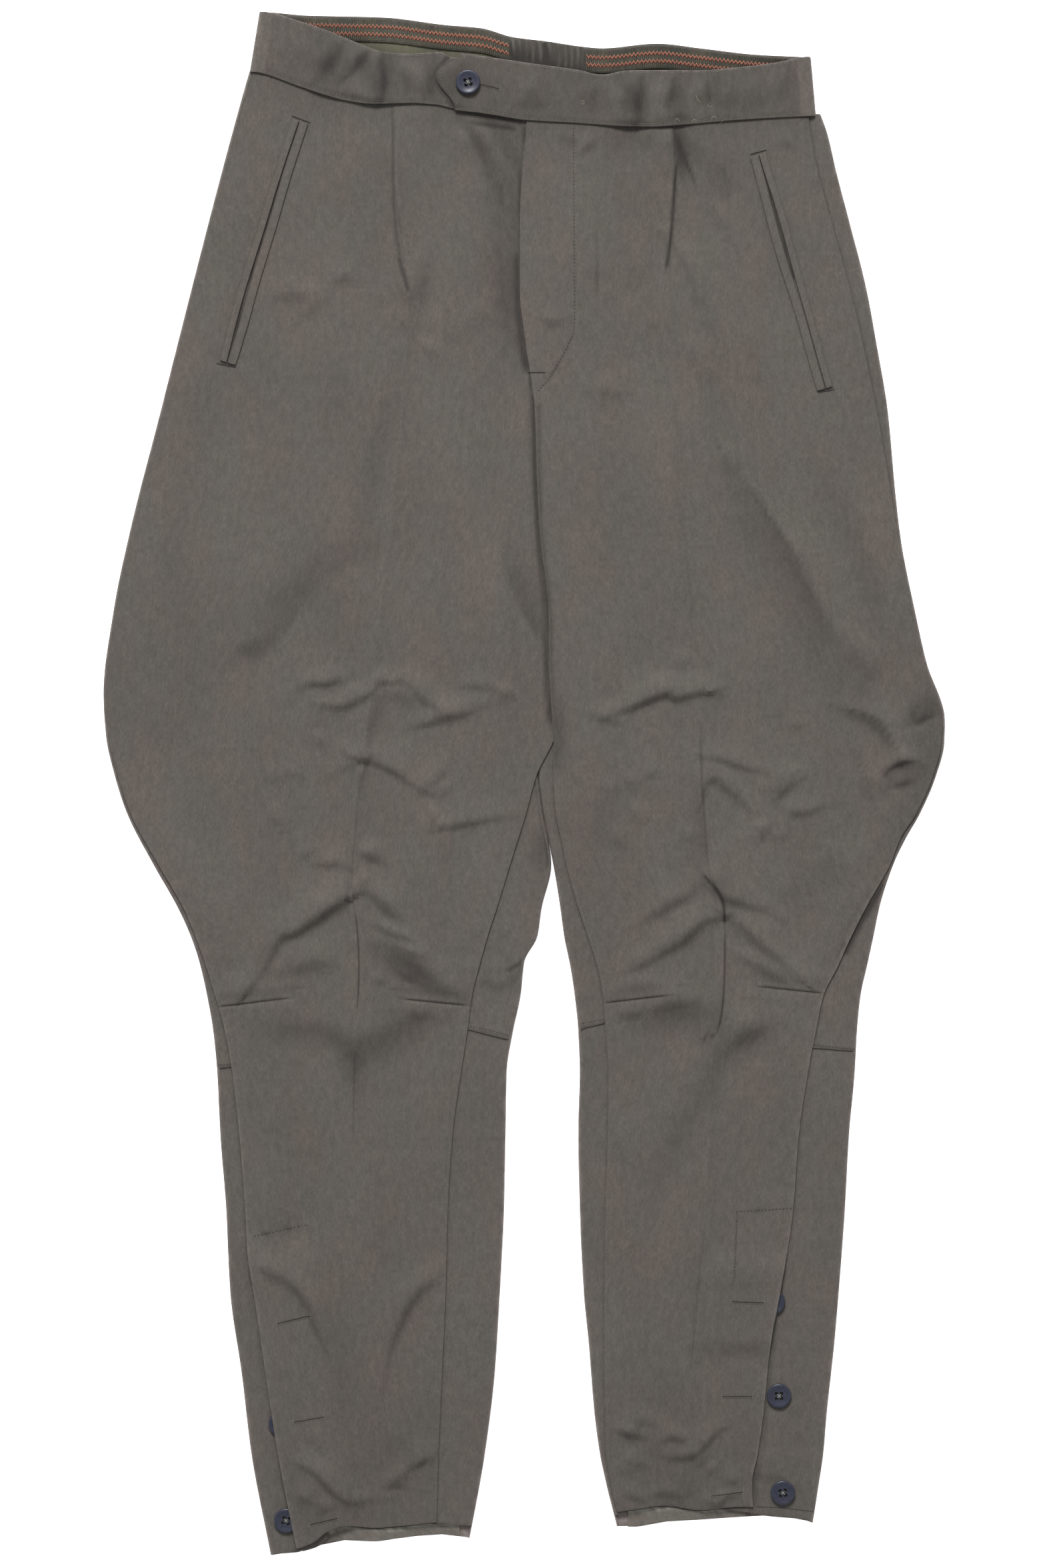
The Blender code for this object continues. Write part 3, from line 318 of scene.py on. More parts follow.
LEFT_FOLDS = (
    Fold(((134, 623), (141, 632.5), (148, 635), (155, 637.5), (163, 640), (170, 641.5), (176, 644),
          (183, 648)),
         4.4, 13, 4.8, 0.52, 0.2, 0.8),
    Fold(((143, 645), (150, 650), (157, 656), (164, 663), (170, 669), (178, 674), (186, 681),
          (193, 687), (201, 694)),
         4.2, 12, 5.6, 0.3, 0.4, 0.4, 0.3),
    Fold(((145, 672), (155, 676), (165, 681), (175, 686), (185, 693), (192, 699)), 3.0, 9, 5, 0.26, 0.5),
    Fold(((80, 653), (90, 646.5), (97, 643), (104, 638.5), (110, 635.5), (117, 632), (124, 626)),
         3.4, 13, 5.4, 0.28, 0.6, 0.2, 0.3),
    Fold(((77, 684), (85, 681), (92, 677), (100, 671.5), (108, 667), (115, 663), (122, 656),
          (128, 650.5), (137, 648)),
         4.6, 14, 5.4, 0.4, 0.7, 0.3, 0.5),
    Fold(((74, 670), (78, 678), (80, 686)), 1.2, 6, 3, 0.12),
    Fold(((60, 504), (70, 500), (78, 497), (86, 493), (94, 490), (101, 488), (108, 491), (116, 489),
          (128, 486.5)),
         4.4, 12, 3.8, 0.4, 0.45, 0.2, 0.7),
    Fold(((100, 489), (104, 485), (109, 486)), 1.2, 6, 3, 0.16),
    Fold(((42, 499), (54, 504), (65, 508), (74, 508)), 1.8, 8, 3.4, 0.16),
    Fold(((128, 487), (136, 488), (146, 491)), 1.6, 8, 3.4, 0.14),
    Fold(((131, 533), (138, 533.5), (145, 536), (153, 539), (162, 541.5), (170, 543), (180, 547)),
         3.0, 12, 2.8, 0.26, 0.3, 0.5),
    Fold(((127, 562), (130, 552), (136, 548), (142, 553), (150, 560), (158, 568), (166, 574), (174, 578)),
         3.2, 12, 3.6, 0.26, 0.35, 0.4),
    Fold(((180, 566), (184, 557.5), (190, 553), (197, 549), (207, 543)), 2.4, 10, 2.8, 0.22, 0.25),
    Fold(((163, 598), (168, 592), (173, 584), (176, 577)), 2.4, 8, 5, 0.24, 0.7),
    Fold(((174, 588), (182, 590), (190, 593)), 1.2, 7, 3, 0.12),
    Fold(((189, 578), (195, 572), (201, 573), (208, 570), (215, 567), (223, 565)), 2.2, 9, 3.2, 0.22, 0.25),
    Fold(((184, 553), (192, 545), (201, 539)), 1.4, 8, 3, 0.12),
    Fold(((176, 503), (182, 501), (188, 503)), 1.0, 7, 3, 0.14),
    Fold(((187, 512), (195, 511), (203, 514)), 0.9, 7, 3, 0.12),
    Fold(((212, 588), (218, 606), (224, 628)), 1.6, 18, 10, 0.1),
    Fold(((200, 640), (196, 622), (190, 604)), 1.0, 14, 8, 0.06),
    Fold(((226, 441), (234, 455), (241, 467), (247, 482)), 2.6, 13, 7, 0.22, 0.6),
    Fold(((222, 497), (234, 501), (246, 506), (254, 513), (262, 526), (268, 535)),
         3.2, 12, 4.4, 0.26, 0.5, 0.3, 0.5),
    Fold(((296, 501), (284, 507), (273, 511)), -1.6, 5, 3, 0.35),
    Fold(((284, 478), (279, 492), (274, 508), (273, 520), (277, 532)), 2.6, 9, 5, 0.24, 0.4),
    Fold(((253, 548), (259, 541.5), (266, 538), (273, 535.5), (281, 537.5)), 3.0, 9, 3.2, 0.42, 0.6),
    Fold(((260, 554.5), (267, 552), (274, 550), (280, 547)), 2.0, 6, 2.8, 0.3),
    Fold(((240, 538), (243, 552), (248, 566)), 1.2, 10, 5, 0.12),
    Fold(((137, 307), (142, 322), (148, 337)), 1.4, 12, 4, 0.15),
    Fold(((162, 340), (178, 368), (191, 392), (208, 424), (226, 452)), 2.4, 18, 6, 0.12),
    Fold(((129, 848), (121, 947), (115, 980)), 1.8, 12, 4, 0.12),
    Fold(((57, 1012), (65, 1012), (73, 1015), (82, 1017), (91, 1020)), 3.0, 9, 3.2, 0.4),
    Fold(((96, 1022), (104, 1018), (112, 1019), (122, 1016)), 2.4, 8, 3.6, 0.3),
    Fold(((66, 1058), (78, 1060), (90, 1064)), 1.6, 6, 3, 0.22),
    Fold(((94, 1029), (104, 1032), (114, 1032), (123, 1029), (131, 1021), (139, 1013), (154, 1006)),
         3.2, 11, 4.0, 0.34, 0.4),
    Fold(((118, 1040), (126, 1036), (134, 1028)), 1.6, 8, 4, 0.14),
    Fold(((60, 1046), (72, 1042), (84, 1044)), 1.2, 8, 4, 0.1),
    Fold(((70, 1002), (80, 1006), (90, 1007), (99, 1013)), 1.8, 7, 3, 0.2, 0.4),
    Fold(((66, 1031), (78, 1036), (92, 1040)), 1.6, 8, 3.4, 0.16, 0.5),
    Fold(((84, 1062), (98, 1058), (112, 1060), (122, 1056)), 1.8, 6, 3, 0.26, 0.5),
    Fold(((126, 1046), (134, 1042), (140, 1034)), 1.2, 6, 3, 0.14),
    Fold(((146, 141), (143, 120), (137, 105), (129, 96), (120, 88)), 2.6, 10, 4, 0.24, 0.4),
    Fold(((120, 121), (114, 112), (109, 102), (107.5, 84)), 3.0, 12, 6, 0.4, 0.6, 0.2, 0.9),
    Fold(((104, 158), (111, 174), (118, 190), (127, 212)), 2.0, 9, 4, 0.2, 0.4),
    Fold(((128, 128), (140, 152), (150, 176)), 1.6, 12, 6, 0.14),
    Fold(((92, 152), (98, 160), (102, 170)), 1.2, 7, 3, 0.16),
    Fold(((76, 158), (75, 180), (70, 202)), 1.2, 9, 4, 0.14),
    Fold(((5, 216), (14, 221.5), (24, 223), (36, 218)), 1.8, 7, 2.8, 0.3),
    Fold(((36, 104), (44, 100), (50, 94), (58, 88)), 2.0, 8, 3, 0.26),
    Fold(((17, 84), (26, 90), (34, 93), (42, 93)), 1.8, 8, 3, 0.26),
    Fold(((78, 88), (90, 90), (102, 87)), 1.6, 8, 4, 0.2),
    Fold(((175, 98), (184, 95), (196, 99)), 1.2, 7, 3, 0.2),
    Fold(((60, 320), (48, 420), (40, 520)), 2.0, 32, 24, 0.06),
    Fold(((38, 268), (60, 274), (86, 270)), 1.4, 10, 6, 0.12),
    Fold(((110, 232), (122, 250), (128, 276)), 1.8, 12, 5, 0.16, 0.4),
    Fold(((152, 200), (160, 240), (172, 280)), 1.4, 14, 8, 0.1),
    Fold(((90, 715), (100, 711), (112, 708), (126, 708)), 2.0, 10, 7, 0.22),
    Fold(((64, 719), (76, 717), (88, 714)), 1.6, 9, 4, 0.18),
    Fold(((146, 742), (158, 732), (176, 725)), 2.6, 14, 8, 0.26),
    Fold(((122, 752), (116, 800), (110, 880)), 1.4, 22, 14, 0.08),
    Fold(((76, 1000), (88, 1018), (100, 1042)), 1.2, 12, 8, 0.06),
    Fold(((122, 1067), (130, 1064), (138, 1066), (146, 1060), (159, 1062)), 1.8, 6, 2.4, 0.34),
    Fold(((140, 1052), (148, 1049), (157, 1050)), 1.4, 6, 3, 0.2),
    Fold(((200, 300), (214, 380), (222, 440)), 1.4, 24, 14, 0.08),
    Fold(((67, 540), (75, 552), (83, 560)), 1.6, 7, 3, 0.14),
    Fold(((72, 563), (78, 574), (83, 585)), 1.6, 7, 3, 0.14),
    Fold(((84, 551), (92, 544), (99, 540)), 1.2, 7, 3, 0.1),
    Fold(((56, 586), (68, 594), (80, 596)), 1.4, 12, 7, 0.14),
    Fold(((48, 548), (56, 556), (62, 566)), 1.2, 8, 4, 0.1),
    Fold(((108, 594), (118, 590), (128, 588)), 1.0, 8, 4, 0.1),
    Fold(((129, 618), (127, 590), (125, 560), (122, 536)), 1.4, 8, 6, 0.18, 0.4, 0.5, 0.4),
    Fold(((104, 470), (112, 468), (118, 472)), 1.0, 8, 5, 0.14),
)

# Deep shade where one part of the cloth lies over another.
Shadow = namedtuple("Shadow", "points width dark")

# Broad painted light and shade, each fading away from its line: far on the steep side, near on the other.
Tone = namedtuple("Tone", "points dark far near")
FRONT_PAINTED_LIGHT_AND_SHADE = {
    "right": (
        Tone(((-110, 392), (-124, 395), (-138, 400), (-149, 410), (-161, 426), (-174, 444), (-186, 462)),
             0.36, 21, 2.2),
        Tone(((-166, 450), (-120, 434), (-70, 432)), -0.24, 34, 22),
        Tone(((-196, 520), (-180, 580)), -0.16, 20, 20),
        Tone(((-80, 480), (-40, 500), (0, 470)), -0.12, 20, 20),
        Tone(((-150, 410), (-136, 406), (-118, 404)), -0.12, 4, 12),
        Tone(((-84, 232), (-94, 280), (-108, 330), (-120, 372)), 0.16, 10, 9),
        Tone(((-83, 325), (-84, 352), (-89, 380), (-95, 410), (-99, 436)), -0.16, 12, 2),
        Tone(((-78, 325), (-80, 352), (-85, 380), (-92, 410)), 0.06, 3, 12),
        Tone(((-136, 240), (-132, 262), (-138, 290)), 0.1, 9, 9),
        Tone(((-2, 90), (-5, 140), (-5, 190), (-3, 228), (0, 250)), 0.36, 12, 4),
        Tone(((-14, 392), (-8, 408), (2, 430), (12, 452)), 0.4, 3, 14),
        Tone(((-18, 176), (-14, 210), (-10, 240)), 0.16, 9, 9),
        Tone(((-90, 205), (-76, 200), (-73, 185)), 0.25, 7, 6),
        Tone(((-250, 360), (-246, 420), (-236, 500)), 0.1, 14, 14),
        Tone(((-215, 395), (-207, 440)), 0.08, 9, 9),
        Tone(((-176, 412), (-184, 428)), 0.1, 12, 10),
        Tone(((-200, 462), (-186, 452), (-176, 447)), 0.2, 9, 8),
        Tone(((-270, 505), (-240, 520)), 0.14, 24, 22),
        Tone(((-186, 724), (-160, 727), (-140, 730), (-122, 742)), 0.42, 11, 8),
        Tone(((-122, 742), (-104, 734), (-84, 724), (-66, 716)), 0.46, 14, 9),
        Tone(((-122, 738), (-121, 770)), 0.32, 9, 8),
        Tone(((-170, 780), (-160, 830)), 0.08, 22, 22),
        Tone(((-150, 700), (-136, 712)), -0.08, 10, 10),
        Tone(((-86, 690), (-72, 688), (-60, 692)), 0.24, 9, 8),
        Tone(((-172, 850), (-178, 885)), 0.16, 12, 14),
        Tone(((-106, 672), (-88, 684), (-66, 697), (-44, 705)), 0.4, 5, 9),
        Tone(((-104, 650), (-86, 662), (-70, 676), (-56, 690)), -0.14, 5, 5),
        Tone(((-196, 694), (-184, 676), (-170, 660), (-148, 646)), -0.2, 2, 9),
        Tone(((-150, 634), (-138, 628)), -0.12, 10, 10),
        Tone(((-104, 572), (-90, 578)), -0.12, 18, 18),
        Tone(((-250, 598), (-226, 622)), -0.12, 16, 16),
        Tone(((-146, 526), (-134, 532)), -0.08, 18, 18),
        Tone(((-112, 456), (-60, 450)), -0.1, 24, 24),
        Tone(((-132, 416), (-124, 424)), -0.06, 16, 16),
        Tone(((-24, 120), (-18, 150)), 0.12, 12, 12),
        Tone(((-78, 92), (-60, 96)), 0.1, 14, 14),
        Tone(((-150, 672), (-134, 664)), -0.08, 9, 9),
        Tone(((-128, 930), (-124, 1000)), 0.13, 14, 14),
        Tone(((-104, 840), (-106, 900)), 0.07, 8, 8),
        Tone(((-160, 1066), (-140, 1074)), 0.2, 12, 12),
        Tone(((-118, 1030), (-70, 1040)), 0.08, 22, 22),
        Tone(((-150, 1016), (-146, 1046)), -0.1, 10, 10),
        Tone(((-110, 100), (-92, 120)), 0.12, 14, 14),
        Tone(((-62, 62), (-58, 84)), 0.14, 12, 12),
        Tone(((-48, 75), (-36, 92), (-26, 112), (-20, 128)), 0.3, 3, 8),
        Tone(((-40, 74), (-28, 86), (-16, 104)), -0.16, 3, 6),
        Tone(((-30, 76), (-18, 90), (-8, 108)), 0.26, 3, 6),
        Tone(((-28, 76), (-8, 81)), 0.25, 5, 3),
        Tone(((-100, 655), (-90, 690)), 0.08, 18, 18),
    ),
    "left": (
        Tone(((160, 342), (178, 370), (193, 396), (207, 424), (220, 448), (232, 464)), 0.36, 24, 4),
        Tone(((208, 318), (222, 345), (234, 375), (246, 405), (254, 440)), 0.2, 12, 10),
        Tone(((176, 345), (200, 380), (224, 425)), -0.08, 3, 16),
        Tone(((145, 640), (162, 654), (182, 672), (200, 690)), -0.1, 2, 6),
        Tone(((80, 668), (104, 660), (124, 648)), -0.1, 2, 6),
        Tone(((110, 285), (112, 330), (115, 377), (121, 430), (125, 466)), 0.12, 5, 1.6),
        Tone(((113.5, 285), (115.5, 330), (118.5, 377), (124.5, 430), (128, 466)), -0.12, 1.6, 6),
        Tone(((292, 500), (289, 555), (272, 600)), 0.26, 16, 16),
        Tone(((243, 482), (238, 496)), 0.2, 9, 9),
        Tone(((22, 492), (23, 540)), 0.5, 3.5, 7),
        Tone(((108, 98), (128, 106), (146, 122)), 0.24, 11, 9),
        Tone(((108, 82), (111, 100), (112, 122)), 0.5, 3, 6),
        Tone(((122, 545), (126, 580), (129, 612)), 0.1, 8, 2),
        Tone(((128, 545), (131, 580), (134, 612)), -0.1, 2, 8),
        Tone(((120, 195), (130, 215), (137, 240)), 0.14, 9, 7),
        Tone(((134, 250), (136, 300)), 0.08, 9, 9),
        Tone(((140, 700), (138, 722), (134, 735)), 0.2, 6, 8),
        Tone(((86, 718), (108, 715), (134, 714)), 0.46, 13, 9),
        Tone(((138, 752), (146, 742), (158, 732), (178, 724)), 0.42, 10, 9),
        Tone(((134, 740), (130, 770), (112, 800), (100, 826), (93, 850)), 0.22, 12, 8),
        Tone(((184, 556), (180, 548)), 0.2, 9, 9),
        Tone(((66, 806), (72, 830)), 0.1, 9, 9),
        Tone(((90, 975), (116, 1000)), 0.06, 20, 20),
        Tone(((92, 1050), (118, 1054)), 0.12, 12, 10),
        Tone(((100, 504), (114, 506)), 0.18, 8, 8),
        Tone(((134, 610), (150, 626)), 0.12, 12, 12),
        Tone(((40, 330), (80, 380)), -0.06, 24, 24),
        Tone(((275, 511), (284, 506), (298, 501)), 0.34, 1.5, 13),
        Tone(((254, 550), (262, 540), (270, 535.6), (280, 536)), 0.26, 10, 1.5),
        Tone(((262, 555), (271, 552), (280, 549)), 0.16, 1.5, 6),
        Tone(((225, 499), (245, 503), (255, 511), (261, 522)), 0.14, 9, 3),
        Tone(((268, 486), (264, 505), (267, 525)), -0.1, 7, 7),
        Tone(((182, 520), (206, 530)), -0.06, 16, 16),
        Tone(((285, 488), (290, 499)), 0.24, 9, 9),
        Tone(((266, 547), (277, 543)), 0.2, 7, 7),
        Tone(((184, 572), (200, 610), (206, 640)), 0.08, 16, 16),
        Tone(((174, 145), (184, 160)), 0.2, 10, 10),
        Tone(((92, 220), (104, 240)), 0.12, 18, 18),
        Tone(((218, 100), (226, 120)), -0.2, 10, 10),
        Tone(((96, 104), (100, 122)), -0.14, 7, 7),
        Tone(((110, 110), (111.5, 128)), -0.14, 4, 4),
        Tone(((64, 98), (72, 92), (80, 94)), 0.16, 6, 6),
        Tone(((48, 88), (100, 92)), 0.1, 14, 14),
        Tone(((92, 478), (140, 478)), -0.12, 12, 16),
        Tone(((92, 500), (140, 500)), -0.1, 14, 8),
        Tone(((54, 566), (68, 574)), -0.12, 16, 16),
        Tone(((140, 888), (160, 892)), 0.1, 18, 18),
        Tone(((44, 92), (50, 100)), -0.1, 6, 6),
        Tone(((130, 628), (146, 636)), 0.12, 16, 16),
        Tone(((176, 664), (186, 680)), 0.1, 16, 16),
        Tone(((130, 700), (146, 718)), -0.12, 12, 12),
        Tone(((172, 1024), (168, 1036)), 0.12, 12, 12),
        Tone(((96, 1066), (108, 1067)), 0.16, 12, 9),
        Tone(((262, 540), (256, 590)), 0.08, 14, 14),
    ),
}
FRONT_SHADOWS = {
    "right": (
        Shadow(((-175, 122), (-186, 158), (-196, 192), (-209.6, 243)), 1.5, 1.0),
        Shadow(((-50, 71), (-30, 75), (-2, 80)), 1.7, 0.9),
        Shadow(((-17.3, 125), (-17.2, 137)), 1.9, 0.8),
        Shadow(((-6, 150), (-7, 175), (-6, 195), (-3, 208)), 6.5, 0.4),
        Shadow(((-5.6, 176), (-5.2, 205), (-3.4, 225), (-0.8, 245), (1.6, 255)), 3.4, 0.95),
        Shadow(((0.6, 84), (-2.2, 115), (-3.6, 150), (-3.6, 200), (0.2, 235), (6.6, 280)), 1.3, 0.85),
        Shadow(((6.6, 276), (8.2, 330), (10.6, 377), (16, 430), (16.4, 465), (18.8, 506)), 2.6, 0.95),
        Shadow(((-94, 72), (-93.4, 100), (-92.8, 140), (-89, 172), (-84.5, 190)), 1.1, 0.6),
        Shadow(((-89, 176), (-86, 188), (-82.5, 200)), 1.6, 0.8),
    ),
    "left": (
        Shadow(((168.6, 107), (180, 147), (192.4, 191)), 1.8, 1.0),
        Shadow(((107, 86), (108, 95), (110, 103)), 2.4, 1.0),
        Shadow(((10.4, 282), (11.2, 343), (13.2, 377), (18.8, 430), (19.4, 465), (21.6, 506)), 1.6, 0.5),
        Shadow(((116, 92), (117, 104)), 5.5, 0.24),
        Shadow(((110, 104), (107.6, 118), (106, 145), (103.5, 168), (101.5, 183)), 1.3, 0.95),
        Shadow(((289, 492), (288, 500)), 7.0, 0.22),
        Shadow(((228, 470), (222, 484)), 12.0, 0.16),
        Shadow(((128, 735), (131, 729.5), (135, 731)), 1.5, 0.7),
    ),
}
BACK_SHADOWS = {
    "right": (
        Shadow(((21, 517), (16, 530), (11, 543), (10, 552)), 2.6, 1.0),
        Shadow(((9.5, 550), (13, 568), (15.5, 588), (18, 608)), 2.4, 0.85),
        Shadow(((12, 590), (12, 606)), 6.0, 0.35),
        Shadow(((-11, 684), (-5, 680.5), (1, 676)), 1.7, 0.85),
        Shadow(((-28, 693), (-18, 697), (-8, 692), (-4, 686)), 3.6, 0.35),
    ),
    "left": (
        Shadow(((165.4, 1036), (163.4, 1048), (164.6, 1066)), 2.6, 0.7),
        Shadow(((166, 1046.5), (182, 1046)), 3.4, 0.4),
        Shadow(((192, 990), (190, 1060)), 15, 0.14),
        Shadow(((256, 624), (250, 633), (243, 645), (236, 657), (229.5, 670)), 3.0, 1.0),
    ),
}

# Sharp lines pressed or sewn into the two fronts, with painted shade in their grooves.
KNEE_DARTS = {
    "right": (Dart(-223.0, 711.0, -163.0, 703.8), Dart(-37.0, 709.8, -88.8, 704.8)),
    "left": (Dart(54.0, 708.0, 106.8, 702.0), Dart(215.0, 701.0, 163.8, 695.7)),
}
SHARP_LINES = {
    "right": (
        Line(((-121.7, 637), (-119.6, 650), (-118.2, 668), (-117.9, 690), (-119.4, 716)), 1.2, 0.7, 0.9),
        Line(((-120.6, 742), (-121.6, 775), (-121.8, 810)), 0.3, 0.8, 0.35),
        Line(((-116, 540), (-119, 570), (-122, 600), (-123, 628)), 0.3, 1.0, 0.25),
        Line(((-40, 79.5), (-22, 82), (-3, 85.4)), 0.4, 0.9, 0.7),
        Line(((-152, 424), (-163, 434), (-173, 446), (-180, 456)), 0.2, 1.2, 0.2),
        Line(((-192, 873.4), (-174, 869.6), (-156, 866)), 0.25, 0.8, 0.5),
    ),
    "left": (
        Line(((134.2, 622), (140.6, 633), (142.6, 642), (143.4, 655)), 1.6, 1.3, 1.0),
        Line(((143.2, 650), (143.2, 680), (141.9, 708), (139.2, 724), (134.8, 734)), 1.2, 0.8, 0.9),
        Line(((53, 150), (52.8, 172), (51.8, 190), (50.6, 212)), 0.7, 0.7, 0.4),
        Line(((36.6, 226), (31.5, 238), (25, 250), (18.5, 261), (10.5, 271)), 0.5, 0.8, 0.5),
        Line(((2.5, 258.6), (15, 258.2)), 0.4, 0.8, 0.35),
        Line(((153, 331), (168, 352), (183, 373), (196, 392), (208, 410)), 0.3, 1.0, 0.3),
        Line(((138, 306), (142, 318), (148, 330)), 0.3, 0.9, 0.25),
        Line(((152, 857), (172, 855), (192, 853.6)), 0.3, 0.7, 0.4),
        Line(((152, 858), (151, 880), (149.6, 905)), 0.25, 0.7, 0.25),
        Line(((130, 858), (126, 890), (122, 935), (118, 975)), 0.2, 0.9, 0.25),
        Line(((125.4, 508), (126.6, 545), (128.6, 575), (130.4, 600), (133, 620)), 0.4, 1.0, 0.4),
        Line(((106.6, 85), (113.3, 103), (118.8, 116), (124.4, 130)), 0.5, 1.0, 0.65),
        Line(((225, 497), (245, 502), (256.4, 510.6), (262, 522), (270, 533)), 0.3, 0.9, 0.42),
        Line(((228.6, 513), (240, 538), (244, 551), (248, 565), (250, 590)), 0.2, 0.9, 0.26),
        Line(((254, 550), (262, 540), (270, 535.6), (280, 536)), 0.3, 0.9, 0.4),
        Line(((275.5, 509), (281, 495), (291, 481)), 0.2, 1.1, 0.22),
        Line(((260, 605), (254, 614), (246, 629), (238, 642), (230, 658), (225.4, 671), (221, 682)),
             0.8, 0.7, 0.5),
    ),
}

Button = namedtuple("Button", "name x drop turn")
WAIST_BUTTON = Button("button_waist", -40.0, 52.0, 12)
CALF_BUTTONS = (
    Button("button_calf_right_top", -178.0, 933.0, 20),
    Button("button_calf_right_middle", -173.6, 1007.5, 5),
    Button("button_calf_right_bottom", -169.8, 1076.5, -12),
    Button("button_calf_left_top", 177.4, 920.8, 8),
    Button("button_calf_left_middle", 181.7, 987.6, 2),
    Button("button_calf_left_bottom", 184.5, 1056.7, 6),
)
BUTTON_RADIUS = 8.75
BUTTON_HOLE_RADIUS = 1.25
BUTTON_HOLE_PITCH = 1.8


def smooth(t):
    t = np.clip(t, 0.0, 1.0)
    return t * t * (3 - 2 * t)


def along(start, end, t):
    return start + (end - start) * t


class Curve:
    """A curve through a table's points that never overshoots them, straight past its ends."""

    def __init__(self, keys, values):
        order = np.argsort(keys)
        self.keys = np.asarray(keys, float)[order]
        self.values = np.asarray(values, float)[order]
        steps = np.diff(self.values) / np.diff(self.keys)
        before, after = steps[:-1], steps[1:]
        total = np.where(before * after > 0, before + after, 1.0)
        inner = np.where(before * after > 0, 2 * before * after / total, 0.0)
        self.slopes = np.concatenate(([steps[0]], inner, [steps[-1]]))

    def __call__(self, at):
        at = np.asarray(at, float)
        i = np.clip(np.searchsorted(self.keys, at) - 1, 0, len(self.keys) - 2)
        span = self.keys[i + 1] - self.keys[i]
        t = np.clip((at - self.keys[i]) / span, 0, 1)
        start = (1 + 2 * t) * (1 - t) ** 2 * self.values[i] + t * (1 - t) ** 2 * span * self.slopes[i]
        end = t * t * (3 - 2 * t) * self.values[i + 1] + t * t * (t - 1) * span * self.slopes[i + 1]
        before = self.slopes[0] * np.minimum(at - self.keys[0], 0)
        after = self.slopes[-1] * np.maximum(at - self.keys[-1], 0)
        return start + end + before + after


POCKETS = {
    "right": ((-160.2, 79.0), (-212.0, 251.0)),
    "left": ((167.1, 103.0), (215.0, 269.5)),
}
WELT_WIDTHS = {"side": 5.0, "front": 6.2}
POCKET_OPENINGS = {
    "right": Curve((0, 0.15, 0.35, 0.6, 0.8, 0.94, 1.0), (0.5, 0.8, 1.3, 1.7, 2.3, 1.2, 0.5)),
    "left": Curve((0, 0.07, 0.2, 0.35, 0.5, 0.62, 0.8, 1.0), (0.4, 0.6, 2.0, 2.6, 1.8, 0.7, 0.4, 0.4)),
}
POCKET_BOWS = {"right": 1.4, "left": 0.2}


def smooth_path(points, steps=6):
    """Points on one smooth curve through a few points."""
    points = np.asarray(points, float)
    padded = np.vstack((2 * points[0] - points[1], points, 2 * points[-1] - points[-2]))
    made = []
    for a, b, c, d in zip(padded, padded[1:], padded[2:], padded[3:]):
        for t in np.arange(steps) / steps:
            bend, twist = 2 * a - 5 * b + 4 * c - d, 3 * b - a - 3 * c + d
            made.append(0.5 * (2 * b + (c - a) * t + bend * t**2 + twist * t**3))
    return np.array([*made, points[-1]])


def beside_path(points, x, drop):
    """Signed distance from a path and the share of its length at the nearest place on it."""
    path = smooth_path(points) if len(points) > 2 else np.asarray(points, float)
    lengths = np.hypot(*np.diff(path, axis=0).T)
    total = lengths.sum()
    best, signed, share, done = np.full(x.shape, np.inf), np.zeros(x.shape), np.zeros(x.shape), 0.0
    for (x_a, drop_a), (x_b, drop_b), length in zip(path, path[1:], lengths):
        dx, dd = (x_b - x_a) / length, (drop_b - drop_a) / length
        t = np.clip((x - x_a) * dx + (drop - drop_a) * dd, 0, length)
        away_x, away_drop = x - x_a - t * dx, drop - drop_a - t * dd
        away = np.hypot(away_x, away_drop)
        side = np.sign(away_drop * dx - away_x * dd)
        nearer = away < best
        best = np.where(nearer, away, best)
        signed = np.where(nearer, side * away, signed)
        share = np.where(nearer, (done + t) / total, share)
        done += length
    return signed, share


def near(points, reach, x, drop):
    """The places that lie within reach of the box round a path."""
    points = np.asarray(points, float)
    low, high = points.min(0) - reach, points.max(0) + reach
    return (x > low[0]) & (x < high[0]) & (drop > low[1]) & (drop < high[1])


def relief(folds, x, drop):
    """Height and painted shade that the folds add, each soft on one side and steep on the other."""
    height, dark = np.zeros(x.shape), np.zeros(x.shape)
    for fold in folds:
        here = near(fold.points, 3 * max(fold.soft, fold.steep), x, drop)
        if not here.any():
            continue
        signed, share = beside_path(fold.points, x[here], drop[here])
        rise = fold.start + (1 - fold.start) * smooth(share / fold.peak)
        fall = fold.end + (1 - fold.end) * smooth((1 - share) / (1 - fold.peak))
        crest = np.where(share < fold.peak, rise, fall)
        narrow = 0.45 + 0.55 * crest
        from_crest = signed + (0.7 * fold.steep * narrow if fold.height > 0 else 0)
        width = np.where(from_crest > 0, fold.steep, fold.soft) * narrow
        height[here] += fold.height * crest * np.exp(-((from_crest / width) ** 2))
        dark[here] += 0.8 * fold.dark * crest * np.exp(-((signed / (fold.steep * narrow * 0.8)) ** 2))
    return height, dark


def grooves(lines, x, drop):
    """Depth and painted shade of narrow lines sewn or pressed into cloth."""
    depth, dark = np.zeros(x.shape), np.zeros(x.shape)
    for line in lines:
        here = near(line.points, 6, x, drop)
        if not here.any():
            continue
        signed, share = beside_path(line.points, x[here], drop[here])
        taper = 0.35 + 0.65 * smooth(np.minimum(share, 1 - share) / 0.2)
        shape = np.exp(-((signed / (line.half_width * taper)) ** 2)) * taper
        depth[here] = np.maximum(depth[here], line.depth * shape)
        dark[here] = np.maximum(dark[here], line.dark * shape)
    return depth, dark


def shadowed(shadows, x, drop):
    """Painted shadow along the paths where cloth lies over cloth."""
    dark = np.zeros(x.shape)
    for shadow in shadows:
        here = near(shadow.points, 3 * shadow.width, x, drop)
        if here.any():
            signed, _ = beside_path(shadow.points, x[here], drop[here])
            dark[here] = np.maximum(dark[here], shadow.dark * np.exp(-((signed / shadow.width) ** 2)))
    return dark


